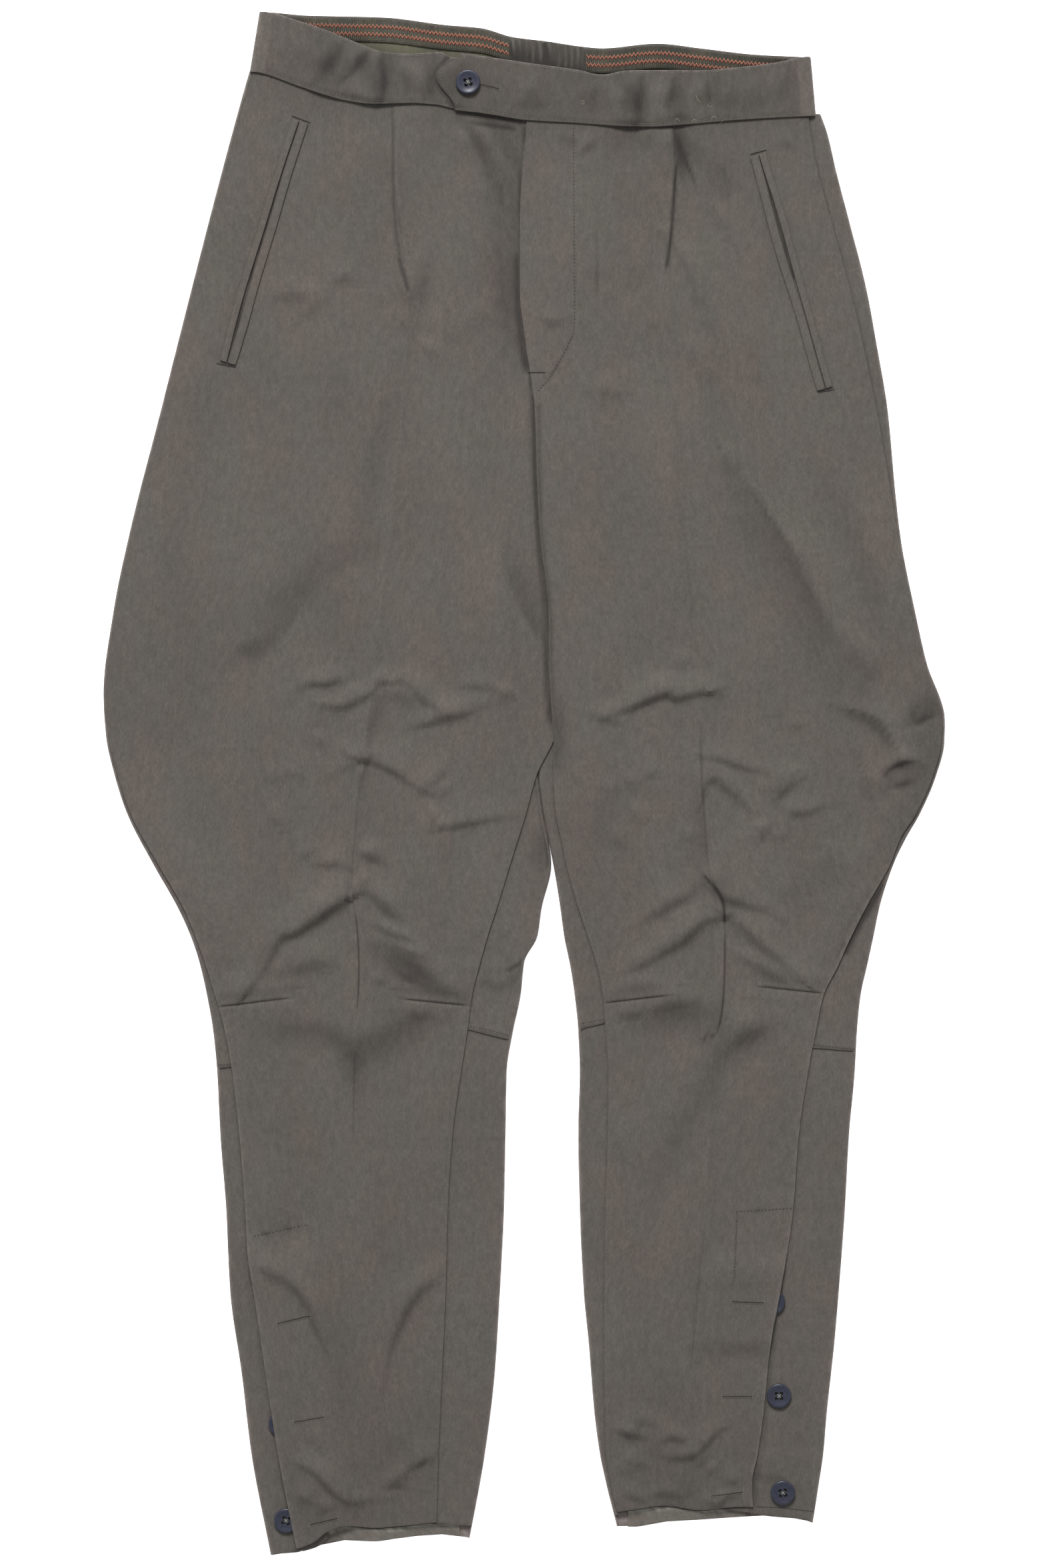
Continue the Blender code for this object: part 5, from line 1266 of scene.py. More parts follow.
def make_hem_facing(side, material):
    """The bias-cut, turned-up hem of a calf, with painted light where it comes out from under the front."""
    x = np.linspace(*HEM_FACINGS[side.name], 60)[None, :]
    share = np.linspace(0, 1, 14)[:, None]
    drop = side.hem("back", x) - 0.2 - HEM_FACING_DEPTH * (1 - share)
    x = np.repeat(x, len(share), axis=0)
    wavy = 0.25 * np.abs(undulation(x * 1.5, drop * 2, 51.0)) * smooth((1 - share) / 0.2)
    z = CLOTH + CLEAR + HEM_FACING / 2 + wavy
    bias = np.stack(((x - drop) * DIAGONAL, -(x + drop) * DIAGONAL), axis=-1)
    # Painted light blends the pale colour in over the front's shadow, under a painted dark line.
    past_front = drop - side.hem("front", x)
    in_shade = 3.4 - 1.6 * smooth((from_edges(side, x, side.hem("front", x)) - 30) / 20)
    paling = 0.4 + 0.22 * (in_shade - 1.8)
    worn = 0.04 + paling * np.exp(-((np.maximum(0, past_front - 0.3) / in_shade) ** 4))
    light = -0.4 + 1.3 * np.exp(-np.maximum(0, past_front) / 0.45)
    name = f"hem_facing_{side.name}_cloth"
    return cloth_shell(name, x, drop, z, HEM_FACING, material, bias, light, worn, 0.2)


class Surface:
    """Heights in millimetres of the tops of some finished pieces."""

    def __init__(self, objects):
        graph = bpy.context.evaluated_depsgraph_get()
        self.trees = [BVHTree.FromObject(obj, graph) for obj in objects]

    def height(self, x, drop):
        start, down = Vector((x * MM, (LENGTH / 2 - drop) * MM, 0.1)), Vector((0, 0, -1))
        hits = [tree.ray_cast(start, down)[0] for tree in self.trees]
        heights = [hit.z / MM for hit in hits if hit]
        return max(heights) if heights else 0.0

    def heights(self, x, drop):
        return np.array([[self.height(a, b) for a, b in zip(*row)] for row in zip(x, drop)])


WELT_TURN = (0.955, 0.296)


def make_welt(side, welt, front, material):
    """One of the two folded strips that edge a pocket, laid on the front."""
    (x_top, drop_top), (x_foot, drop_foot) = POCKETS[side.name]
    length = hypot(x_foot - x_top, drop_foot - drop_top)
    across = (-(drop_foot - drop_top) / length, (x_foot - x_top) / length)
    out = side.out
    way = out if welt == "side" else -out
    t = np.linspace(0, 1, 90)[:, None]
    share = np.array((0, 0.06, 0.16, 0.3, 0.5, 0.7, 0.84, 0.94, 1.0))[None, :]
    offset = -way * (POCKET_OPENINGS[side.name](t) / 2 + WELT_WIDTHS[welt] * share)
    bow = out * (POCKET_BOWS[side.name] * np.sin(pi * t) + 0.3 * np.sin(11 * t) * np.sin(pi * t))
    x = along(x_top, x_foot, t) + across[0] * offset + bow
    drop = along(drop_top, drop_foot, t) + across[1] * offset
    puff = 0.3 * np.sin(pi * np.clip(share * 1.05, 0, 1)) + 0.35 * np.exp(-share / 0.15)
    z = front.heights(x, drop) + CLEAR + WELT / 2 + puff + 0.1 * undulation(x * 3, drop * 3, 61.0)
    shade = np.broadcast_to(0.55 * np.exp(-share / 0.05) + 0.4 * np.exp(-(1 - share) / 0.05), x.shape)
    name = f"pocket_{side.name}_{welt}_welt_cloth"
    c, s = WELT_TURN
    turned = np.stack((x * c + drop * s, -drop * c + x * s), axis=-1)
    return cloth_shell(name, x, drop, z, WELT, material, turned, shade, None, 0.25)


def button_mesh():
    """A turned four-hole button with a raised rim and a dished middle, standing on z = 0."""
    profile = (
        (0, 1.75), (3.2, 1.74), (4.4, 1.8), (5.4, 1.97), (6.4, 2.2), (7.2, 2.38), (7.8, 2.44),
        (8.3, 2.3), (8.62, 1.9), (BUTTON_RADIUS, 1.35), (8.62, 0.8), (8.1, 0.3), (7.3, 0), (0, 0),
    )
    mesh = bpy.data.meshes.new("button_profile")
    places = [(radius * MM, 0, z * MM) for radius, z in profile]
    mesh.from_pydata(places, [(k, k + 1) for k in range(len(places) - 1)], [])
    turned = bpy.data.objects.new("button_turned", mesh)
    bpy.context.scene.collection.objects.link(turned)
    screw = turned.modifiers.new("turn", "SCREW")
    screw.steps = screw.render_steps = 48
    screw.use_merge_vertices = True
    screw.merge_threshold = 0.00005
    helpers = [turned]
    for across in (-1, 1):
        for up in (-1, 1):
            bpy.ops.mesh.primitive_cylinder_add(
                vertices=20,
                radius=BUTTON_HOLE_RADIUS * MM,
                depth=8 * MM,
                location=(across * BUTTON_HOLE_PITCH * MM, up * BUTTON_HOLE_PITCH * MM, 0),
            )
            cutter = bpy.context.object
            helpers.append(cutter)
            cut = turned.modifiers.new("hole", "BOOLEAN")
            cut.operation = "DIFFERENCE"
            cut.object = cutter
    graph = bpy.context.evaluated_depsgraph_get()
    finished = bpy.data.meshes.new_from_object(turned.evaluated_get(graph))
    for helper in helpers:
        bpy.data.objects.remove(helper)
    finished.name = "button"
    return finished


def place_mesh(mesh, x, drop, z, turn=0.0):
    """Moves and turns the mesh itself, so that its object can stay at the origin."""
    co = np.empty(len(mesh.vertices) * 3)
    mesh.vertices.foreach_get("co", co)
    co = co.reshape(-1, 3)
    c, s = cos(radians(turn)), sin(radians(turn))
    co[:, :2] = co[:, :2] @ np.array(((c, s), (-s, c)))
    co += np.array((x, LENGTH / 2 - drop, z)) * MM
    mesh.vertices.foreach_set("co", co.ravel())
    mesh.update()


def button_threads(button, z):
    """Four strands of thread that cross in the middle of a button, from hole to hole."""
    reach, turn = 0.62 * BUTTON_HOLE_PITCH, radians(button.turn)
    strands = []
    for ax, ad, bx, bd in ((-1, -1, 1, 1), (-1, 1, 1, -1), (-0.75, -1, 1, 0.75), (-1, 0.75, 0.75, -1)):
        ends = []
        for across, down in ((ax, ad), (bx, bd)):
            across, down = across * reach, down * reach
            ends.append((
                button.x + across * cos(turn) + down * sin(turn),
                button.drop + down * cos(turn) - across * sin(turn),
            ))
        strands.append(ends)
    return [(strand, z + 1.8) for strand in strands]


def make_button(button, pattern, z, material):
    mesh = pattern.copy()
    place_mesh(mesh, button.x, button.drop, z, button.turn)
    mesh.shade_smooth()
    mesh.set_sharp_from_angle(angle=0.9)
    return add_piece(f"{button.name}_turned", mesh, material)


class Tree:
    """A node tree with short calls for adding nodes and links."""

    def __init__(self, tree):
        self.tree = tree

    def link(self, value, socket):
        self.tree.links.new(value, socket)

    def add(self, kind, inputs=None, **settings):
        node = self.tree.nodes.new(kind)
        for name, value in settings.items():
            setattr(node, name, value)
        for name, value in (inputs or {}).items():
            socket = node.inputs[name]
            if isinstance(value, bpy.types.NodeSocket):
                self.link(value, socket)
            else:
                socket.default_value = value
        return node

    def math(self, operation, *values, clamp=False):
        node = self.add("ShaderNodeMath", dict(enumerate(values)), operation=operation, use_clamp=clamp)
        return node.outputs[0]

    def vector(self, operation, a, b):
        return self.add("ShaderNodeVectorMath", {0: a, 1: b}, operation=operation).outputs[0]

    def scale(self, vector, factor):
        return self.add("ShaderNodeVectorMath", {0: vector, "Scale": factor}, operation="SCALE").outputs[0]

    def noise(self, place, scale, detail, **more):
        inputs = {"Vector": place, "Scale": scale, "Detail": detail, **more}
        return self.add("ShaderNodeTexNoise", inputs).outputs[0]

    def use(self, group, inputs):
        """The outputs of a shader group that is placed in this tree."""
        return self.add("ShaderNodeGroup", inputs, node_tree=group).outputs

    def blend(self, share, a, b):
        return self.add("ShaderNodeMix", {0: share, 6: a, 7: b}, data_type="RGBA").outputs[2]

    def spread(self, value, low, high, to_low=0.0, to_high=1.0, clamp=True):
        inputs = {"Value": value, "From Min": low, "From Max": high, "To Min": to_low, "To Max": to_high}
        return self.add("ShaderNodeMapRange", inputs, clamp=clamp).outputs[0]

    def vary(self, value, amount):
        """A factor round 1 that moves by the amount as the value goes from 0 to 1."""
        return self.spread(value, 0, 1, 1 - amount, 1 + amount)


def new_group(name, inputs, outputs):
    """An empty shader node group with named inputs and outputs, and its two end nodes."""
    group = bpy.data.node_groups.new(name, "ShaderNodeTree")
    kinds = {"float": "NodeSocketFloat", "vector": "NodeSocketVector", "color": "NodeSocketColor"}
    for label, (kind, value) in inputs.items():
        socket = group.interface.new_socket(name=label, in_out="INPUT", socket_type=kinds[kind])
        if value is not None:
            socket.default_value = value
    for label, kind in outputs.items():
        group.interface.new_socket(name=label, in_out="OUTPUT", socket_type=kinds[kind])
    tree = Tree(group)
    return group, tree, tree.add("NodeGroupInput").outputs, tree.add("NodeGroupOutput").inputs


def twill_group():
    """Steep diagonal ribs of a twill, broken into single threads, on the cloth's own UV."""
    group, tree, given, out = new_group(
        "Twill ribs",
        {"Vector": ("vector", None), "Pitch": ("float", 0.001), "Slant": ("float", 1.2)},
        {"Height": "float"},
    )
    turned = tree.add(
        "ShaderNodeVectorRotate", {"Vector": given["Vector"], "Angle": given["Slant"]}, rotation_type="Z_AXIS"
    ).outputs[0]
    wobble = tree.math("MULTIPLY", tree.noise(turned, 220.0, 1.0), 0.0009)
    parts = tree.add("ShaderNodeSeparateXYZ", {0: turned})
    across = tree.math("ADD", parts.outputs[1], wobble)
    turns = tree.math("DIVIDE", across, given["Pitch"])
    rib = tree.math("SINE", tree.math("MULTIPLY", turns, 2 * pi))
    run = tree.math("DIVIDE", parts.outputs[0], tree.math("MULTIPLY", given["Pitch"], 1.25))
    phase = tree.math("ADD", run, tree.math("MULTIPLY", turns, 0.5))
    thread = tree.math("SINE", tree.math("MULTIPLY", phase, 2 * pi))
    height = tree.math("ADD", tree.math("MULTIPLY", rib, 0.36), tree.math("MULTIPLY", thread, 0.14))
    tree.link(tree.math("ADD", height, 0.5), out["Height"])
    return group


def heather_group():
    """Flecks of lighter and darker fibre, drawn out along the warp."""
    group, tree, given, out = new_group(
        "Heather flecks",
        {"Vector": ("vector", None), "Fleck": ("float", 0.0007)},
        {"Fleck": "float", "Fuzz": "float"},
    )
    stretch = tree.add("ShaderNodeCombineXYZ", {0: 1.0, 1: 0.42, 2: 1.0}).outputs[0]
    drawn = tree.vector("MULTIPLY", given["Vector"], stretch)
    size = tree.math("DIVIDE", 0.5, given["Fleck"])
    fleck = tree.noise(drawn, size, 2.0, Roughness=0.6)
    fuzz = tree.noise(drawn, tree.math("MULTIPLY", size, 0.32), 2.0)
    tree.link(tree.spread(fleck, 0.3, 0.7), out["Fleck"])
    tree.link(tree.spread(fuzz, 0.3, 0.7), out["Fuzz"])
    return group


def patches_group():
    """Broad patches where worn cloth has faded warmer or cooler, lighter or darker."""
    group, tree, given, out = new_group(
        "Faded patches",
        {"Vector": ("vector", None), "Scale": ("float", 26.0)},
        {"Warmth": "float", "Tone": "float"},
    )
    stretch = tree.add("ShaderNodeCombineXYZ", {0: 1.0, 1: 0.55, 2: 1.0}).outputs[0]
    drawn = tree.vector("MULTIPLY", given["Vector"], stretch)
    warm = tree.noise(drawn, given["Scale"], 4.0, Roughness=0.62)
    moved = tree.vector("ADD", drawn, (3.1, 1.7, 0.4))
    tone = tree.noise(moved, tree.math("MULTIPLY", given["Scale"], 0.5), 3.0, Roughness=0.5)
    tree.link(tree.spread(warm, 0.34, 0.66), out["Warmth"])
    tree.link(tree.spread(tone, 0.3, 0.7), out["Tone"])
    return group


def new_material(name, values):
    """A material with its node tree and its shader, which gets the constants that are given."""
    made = bpy.data.materials.new(name)
    made.use_nodes = True
    shader = made.node_tree.nodes["Principled BSDF"]
    for label, value in values.items():
        shader.inputs[label].default_value = value
    return made, Tree(made.node_tree), shader


def cloth_material(name, groups, finish):
    """Woven cloth: heathered thread colour in patches, ribs, fuzz, painted shade and light, worn edges."""
    made, tree, shader = new_material(name, {
        "Roughness": finish.roughness,
        "Specular IOR Level": finish.specular,
        "Sheen Weight": finish.sheen,
        "Sheen Roughness": 0.45,
        "Sheen Tint": (*finish.pale, 1),
    })
    uv = tree.add("ShaderNodeUVMap", uv_map="weave").outputs[0]
    place = tree.add("ShaderNodeTexCoord").outputs["Object"]
    weave = {"Vector": uv, "Pitch": finish.pitch * MM, "Slant": radians(finish.slant)}
    height = tree.use(groups["twill"], weave)["Height"]
    heather = tree.use(groups["heather"], {"Vector": uv, "Fleck": finish.fleck * MM})
    patches = tree.use(groups["patches"], {"Vector": place, "Scale": finish.patch_scale})
    ground = tree.blend(patches["Warmth"], (*finish.cool, 1), (*finish.warm, 1))
    tone = tree.vary(patches["Tone"], finish.mottle)
    fleck = tree.vary(heather["Fleck"], finish.heather)
    fuzz = tree.vary(heather["Fuzz"], finish.heather * 0.6)
    rib = tree.vary(height, finish.rib)
    # The shade attribute darkens as painted shade, and lightens as painted light below zero.
    shade = tree.add("ShaderNodeAttribute", attribute_name="shade").outputs["Fac"]
    dim = tree.spread(shade, 0, 1, 1.0, finish.deepest, clamp=False)
    factor = tree.math("MULTIPLY", tree.math("MULTIPLY", tone, fleck), tree.math("MULTIPLY", fuzz, rib))
    shaded = tree.scale(ground, tree.math("MULTIPLY", factor, dim))
    # Blends in the pale colour where the cloth is worn and as painted light.
    wear_and_painted_light = tree.add("ShaderNodeAttribute", attribute_name="wear_and_painted_light").outputs["Fac"]
    pale_blend = tree.math("MULTIPLY", wear_and_painted_light, tree.spread(heather["Fuzz"], 0.2, 0.8, 0.3, 0.8), clamp=True)
    tree.link(tree.blend(pale_blend, shaded, (*finish.pale, 1)), shader.inputs["Base Color"])
    rough = tree.spread(heather["Fleck"], 0, 1, finish.roughness - 0.08, finish.roughness + 0.08)
    tree.link(rough, shader.inputs["Roughness"])
    high = tree.math("ADD", height, tree.math("MULTIPLY", heather["Fuzz"], 0.8))
    bump = tree.add("ShaderNodeBump", {"Strength": finish.bump, "Distance": 0.0003, "Height": high})
    tree.link(bump.outputs[0], shader.inputs["Normal"])
    return made


Finish = namedtuple(
    "Finish",
    "cool warm pale roughness specular sheen pitch slant fleck patch_scale mottle heather rib deepest bump",
)
GABARDINE = Finish(
    cool=(0.0905, 0.0842, 0.0738), warm=(0.1015, 0.0860, 0.0768), pale=(0.30, 0.25, 0.24),
    roughness=0.86, specular=0.25, sheen=0.12, pitch=0.62, slant=78, fleck=0.62,
    patch_scale=34.0, mottle=0.05, heather=0.16, rib=0.06, deepest=0.34, bump=0.6,
)
# The hem facings' gabardine, with a lighter pale colour for the painted light over their shadow.
FACING_GABARDINE_PAINTED_LIGHT = GABARDINE._replace(pale=(0.42, 0.41, 0.35))
LINING_COTTON = Finish(
    cool=(0.072, 0.068, 0.039), warm=(0.085, 0.078, 0.047), pale=(0.15, 0.145, 0.10),
    roughness=0.62, specular=0.4, sheen=0.1, pitch=0.5, slant=45, fleck=0.5,
    patch_scale=22.0, mottle=0.12, heather=0.06, rib=0.03, deepest=0.5, bump=0.25,
)
GRIP_TAPE = Finish(
    cool=(0.052, 0.052, 0.044), warm=(0.070, 0.062, 0.046), pale=(0.2, 0.17, 0.12),
    roughness=0.9, specular=0.2, sheen=0.15, pitch=1.3, slant=90, fleck=0.6,
    patch_scale=60.0, mottle=0.15, heather=0.25, rib=0.4, deepest=0.5, bump=1.0,
)


def button_material():
    made, tree, shader = new_material("button_navy_plastic", {"Roughness": 0.3, "Specular IOR Level": 0.42})
    place = tree.add("ShaderNodeTexCoord").outputs["Object"]
    swirl = tree.spread(tree.noise(place, 420.0, 3.0, Distortion=1.2), 0.35, 0.65)
    colour = tree.blend(swirl, (0.016, 0.019, 0.033, 1), (0.026, 0.030, 0.049, 1))
    tree.link(colour, shader.inputs["Base Color"])
    scratch = tree.noise(place, 1600.0, 2.0)
    tree.link(tree.spread(scratch, 0.3, 0.7, 0.26, 0.42), shader.inputs["Roughness"])
    return made


# The light and the dark colour of each thread.
THREADS = {
    "grey_green": ((0.155, 0.143, 0.118), (0.10, 0.092, 0.076)),
    "brown": ((0.034, 0.029, 0.026), (0.02, 0.017, 0.016)),
    "brown_grey": ((0.135, 0.118, 0.088), (0.085, 0.072, 0.055)),
    "pale_green": ((0.27, 0.26, 0.19), (0.18, 0.17, 0.12)),
    "orange_brown": ((0.36, 0.15, 0.085), (0.24, 0.085, 0.05)),
    "rust": ((0.20, 0.045, 0.025), (0.12, 0.03, 0.018)),
    "olive": ((0.105, 0.098, 0.058), (0.05, 0.048, 0.032)),
    "pale": ((0.34, 0.34, 0.27), (0.2, 0.2, 0.16)),
}


def thread_material(name, light, dark):
    made, tree, shader = new_material(f"thread_{name}", {"Roughness": 0.7, "Sheen Weight": 0.2})
    place = tree.add("ShaderNodeTexCoord").outputs["Object"]
    strand = tree.noise(place, 1500.0, 2.0)
    mixed = tree.blend(tree.spread(strand, 0.35, 0.65), (*dark, 1), (*light, 1))
    tree.link(mixed, shader.inputs["Base Color"])
    bump = tree.add("ShaderNodeBump", {"Strength": 0.5, "Distance": 0.0001, "Height": strand})
    tree.link(bump.outputs[0], shader.inputs["Normal"])
    return made


def stitch_tree():
    """Short thread capsules set along paths, turned across them where Turn is a right angle."""
    group = bpy.data.node_groups.new("Stitch rows", "GeometryNodeTree")
    group.interface.new_socket(name="Geometry", in_out="INPUT", socket_type="NodeSocketGeometry")
    for label in ("Pitch", "Length", "Thickness", "Turn"):
        group.interface.new_socket(name=label, in_out="INPUT", socket_type="NodeSocketFloat")
    group.interface.new_socket(name="Seed", in_out="INPUT", socket_type="NodeSocketInt")
    group.interface.new_socket(name="Thread", in_out="INPUT", socket_type="NodeSocketMaterial")
    group.interface.new_socket(name="Geometry", in_out="OUTPUT", socket_type="NodeSocketGeometry")
    tree = Tree(group)
    given = tree.add("NodeGroupInput").outputs
    curve = tree.add("GeometryNodeMeshToCurve", {0: given["Geometry"]}).outputs[0]
    points = tree.add("GeometryNodeCurveToPoints", {"Curve": curve, "Length": given["Pitch"]}, mode="LENGTH")
    half = tree.math("MULTIPLY", given["Length"], 0.5)
    thin = tree.math("MULTIPLY", given["Thickness"], 0.5)
    size = tree.add("ShaderNodeCombineXYZ", {0: thin, 1: thin, 2: half}).outputs[0]
    uneven = tree.add("FunctionNodeRandomValue", {"Seed": given["Seed"]}, data_type="FLOAT")
    uneven.inputs[2].default_value = 0.8
    uneven.inputs[3].default_value = 1.15
    scale = tree.scale(size, uneven.outputs[1])
    side_turn = tree.add("ShaderNodeCombineXYZ", {0: given["Turn"]}).outputs[0]
    turned = tree.add(
        "FunctionNodeRotateRotation",
        {"Rotation": points.outputs["Rotation"], "Rotate By": side_turn},
        rotation_space="LOCAL",
    ).outputs[0]
    capsule = tree.add("GeometryNodeMeshIcoSphere", {"Radius": 1.0, "Subdivisions": 1}).outputs[0]
    placed = tree.add(
        "GeometryNodeInstanceOnPoints",
        {"Points": points.outputs["Points"], "Instance": capsule, "Rotation": turned, "Scale": scale},
    ).outputs[0]
    real = tree.add("GeometryNodeRealizeInstances", {0: placed}).outputs[0]
    soft = tree.add("GeometryNodeSetShadeSmooth", {0: real}).outputs[0]
    dyed = tree.add("GeometryNodeSetMaterial", {"Geometry": soft, "Material": given["Thread"]}).outputs[0]
    tree.add("NodeGroupOutput", {0: dyed})
    return group


# One kind of stitches: how far apart, how long and how thick they are in millimetres, their thread,
# their turn against the path, the seed of their unevenness and how far they lie over the cloth.
Stitch = namedtuple("Stitch", "name pitch length thickness thread turn seed lift", defaults=(0.0, 1, 0.1))


def sew(stitch, tree, threads, paths, surface):
    """Stitches along paths of (x, drop) points, laid on the surface or at one height over the floor."""
    places, edges = [], []
    for path in paths:
        points = resample(path, min(stitch.pitch, 1.5) if stitch.turn == 0 else 1.0)
        first = len(places)
        for x, drop in points:
            z = (surface.height(x, drop) if isinstance(surface, Surface) else surface) + stitch.lift
            places.append((x * MM, (LENGTH / 2 - drop) * MM, z * MM))
        edges += [(k, k + 1) for k in range(first, len(places) - 1)]
    mesh = bpy.data.meshes.new(stitch.name)
    mesh.from_pydata(places, edges, [])
    rows = bpy.data.objects.new(stitch.name + "_rows", mesh)
    bpy.context.scene.collection.objects.link(rows)
    modifier = rows.modifiers.new("stitches", "NODES")
    modifier.node_group = tree
    thread = threads[stitch.thread]
    values = {
        "Pitch": stitch.pitch * MM, "Length": stitch.length * MM, "Thickness": stitch.thickness * MM,
        "Turn": stitch.turn, "Seed": stitch.seed, "Thread": thread,
    }
    for item in tree.interface.items_tree:
        if item.in_out == "INPUT" and item.name in values:
            modifier[item.identifier] = values[item.name]
    graph = bpy.context.evaluated_depsgraph_get()
    finished = bpy.data.meshes.new_from_object(rows.evaluated_get(graph))
    bpy.data.objects.remove(rows)
    finished.name = stitch.name
    return add_piece(stitch.name, finished, thread)


def resample(path, step):
    """Points along a path about one step apart."""
    path = smooth_path(path) if len(path) > 2 else np.asarray(path, float)
    lengths = np.concatenate(([0], np.cumsum(np.hypot(*np.diff(path, axis=0).T))))
    count = max(2, round(lengths[-1] / step) + 1)
    at = np.linspace(0, lengths[-1], count)
    return np.stack((np.interp(at, lengths, path[:, 0]), np.interp(at, lengths, path[:, 1])), axis=-1)


def beside(path, offset):
    """The path moved sideways: to below for one that runs from left to right."""
    path = np.asarray(path, float)
    steps = np.gradient(path, axis=0)
    steps /= np.hypot(*steps.T)[:, None]
    return path + offset * np.stack((-steps[:, 1], steps[:, 0]), axis=-1)


BUTTONHOLES = {
    "waist": ((-31.7, 53.3), (-17.4, 56.7)),
    "right_top": ((-176.4, 935.7), (-152, 930)),
    "right_middle": ((-164.5, 1006), (-142, 1002)),
    "right_bottom": ((-153, 1079), (-132.6, 1074.3)),
    "left_top": ((147.4, 920), (171.2, 921)),
    "left_middle": ((140.7, 988), (163, 988)),
    "left_bottom": ((132.6, 1059), (156.4, 1056)),
}
BUTTONHOLE_HALF_WIDTH = 0.75
BUTTONHOLE_HALF_BAR = 1.6


def band_line(rows, share, x_from, x_to, step=8.0):
    """A path along the waistband at a share of its height, between two places across."""
    count = max(3, round(abs(x_to - x_from) / step))
    top = Curve([r.x_top for r in rows], [r.top for r in rows])
    bottom = Curve([r.x_bottom for r in rows], [r.bottom for r in rows])
    return [(x, float(along(top(x), bottom(x), share))) for x in np.linspace(x_from, x_to, count)]


def leg_line(side, column, inset, drop_from, drop_to, step=20.0):
    """A path down a leg beside one of its lines."""
    count = max(3, round((drop_to - drop_from) / step))
    return [(float(side.at(column, d) + side.out * inset), d) for d in np.linspace(drop_from, drop_to, count)]


ZIGZAG_BELOW = (7.4, 13.0)
ZIGZAG_PITCH = 2.8
ZIGZAG_HEIGHT = 1.9
RIB_ROWS = ((9.0, 2.6), (14.4, 2.2))
RIB_PITCH = 1.4


def zigzag_paths(strip, side, below, shift):
    """Pointed rows of thread along the grip tape at one distance below the top of the waist."""
    start, end = sorted((strip.x_from, strip.x_to))
    count = round((end - start - 2) / ZIGZAG_PITCH * 2)
    path = []
    for k in range(count + 1):
        x = start + 1 + k * ZIGZAG_PITCH / 2
        up = ZIGZAG_HEIGHT / 2 * (1 if k % 2 else -1)
        path.append((x, float(back_waist_top(side, x)) + below + shift + up))
    return [[a, b] for a, b in zip(path, path[1:])]


def rib_paths(strip, side, below, length):
    """Short upright ribs woven into the grip tape."""
    start, end = sorted((strip.x_from, strip.x_to))
    ribs = []
    for x in np.arange(start + 1, end - 1, RIB_PITCH):
        top = float(back_waist_top(side, x)) + below
        ribs.append([(x, top), (x, top + length)])
    return ribs


def tape_edge(strip, side):
    """A path just inside the upper edge of the grip tape."""
    return [(x, float(back_waist_top(side, x)) + 1.1) for x in np.linspace(strip.x_from, strip.x_to, 40)]


def seam_paths(right, left):
    """The rows of stitches in the cloth's own colour."""
    paths = [
        band_line(right.band_front, 0.94, -184, -64),
        band_line(right.band_front, 0.05, -182, -64),
        band_line(left.band_front, 0.945, -40, 198),
        band_line(left.band_front, 0.05, -42, 198),
        [(-43, 33.2), (-58.4, 44), (-59.2, 48), (-57, 54), (-48, 67.6)],
    ]
    for side in (right, left):
        paths.append(leg_line(side, "inseam", 1.6, 760, 1060))
        paths.append(leg_line(side, "inseam", 1.6, 620, 722))
    return paths


def brown_paths():
    """The rows of darker stitches: the fly's curve, the tops of the plackets and a pressed seam."""
    return [
        [(35, 84), (35.4, 150), (35.8, 222), (31.5, 238), (25, 250), (18.5, 261), (10.5, 271)],
        [(-192, 873.4), (-174, 869.6), (-156, 866)],
        [(152, 856.4), (172, 855), (192, 853.6)],
        [(152, 858), (151, 880), (149.6, 905)],
    ]


def knee_paths():
    """The rows of stitches above the seams across the backs of the knees."""
    return [
        [(-218.2, 751.4), (-209.8, 751.2)],
        [(-37.8, 723.9), (-24, 727.2), (-11.4, 730.5)],
        [(40.2, 722.2), (48, 720.6), (56.2, 719.1)],
        [(207.4, 737.2), (221, 738.9), (235, 740.5)],
    ]


def hem_paths(right, left):
    """Painted shadow lines over the turned-up hems, where the fronts end and beside the left front."""
    paths = [[(166, 1066.6), (186, 1067.8), (206.4, 1070.2)]]
    for side, start, end in ((right, -140, -56), (left, 72, 158)):
        paths.append([(x, float(side.hem("front", x)) + 0.8) for x in np.linspace(start, end, 24)])
    return paths


def stray_paths():
    """Ends and loops of thread left on the waistband and below it."""
    return [
        [(122.4, 61), (123.6, 64), (125.6, 66)],
        [(131, 68), (132.4, 69.4), (133.6, 68.6)],
        [(107.6, 79), (109, 77.6), (110.6, 79.2)],
        [(119.6, 79.6), (121, 78), (122.6, 79)],
        [(133.6, 77.4), (135, 75.8), (136.8, 77)],
        [(139.8, 80.4), (141.4, 78.8)],
        [(41, 64.6), (42.8, 65.8), (41.8, 67.6), (40.6, 66.2)],
        [(90.6, 242.6), (91.4, 243.6)],
    ]


def pocket_bars():
    """Short rows of stitches across the two ends of each pocket."""
    return [
        [(-165.4, 75.2), (-153, 79.8)],
        [(-219, 251.4), (-206, 254)],
        [(161.6, 102.4), (172.6, 99.4)],
        [(210, 272), (221, 270)],
        [(3, 258), (15, 258)],
    ]


def buttonhole_edges():
    """The two sewn edges of every buttonhole."""
    middles = [resample(ends, 2) for ends in BUTTONHOLES.values()]
    offsets = (BUTTONHOLE_HALF_WIDTH, -BUTTONHOLE_HALF_WIDTH)
    return [beside(middle, offset) for middle in middles for offset in offsets]


def buttonhole_bars():
    """Short rows across the two ends of every buttonhole."""
    half = BUTTONHOLE_HALF_BAR
    return [[(x, drop - half), (x, drop + half)] for ends in BUTTONHOLES.values() for x, drop in ends]


SLIT_HALF_WIDTH = 0.14
SLIT_LIFT = 0.12
SLIT_THICKNESS = 0.16


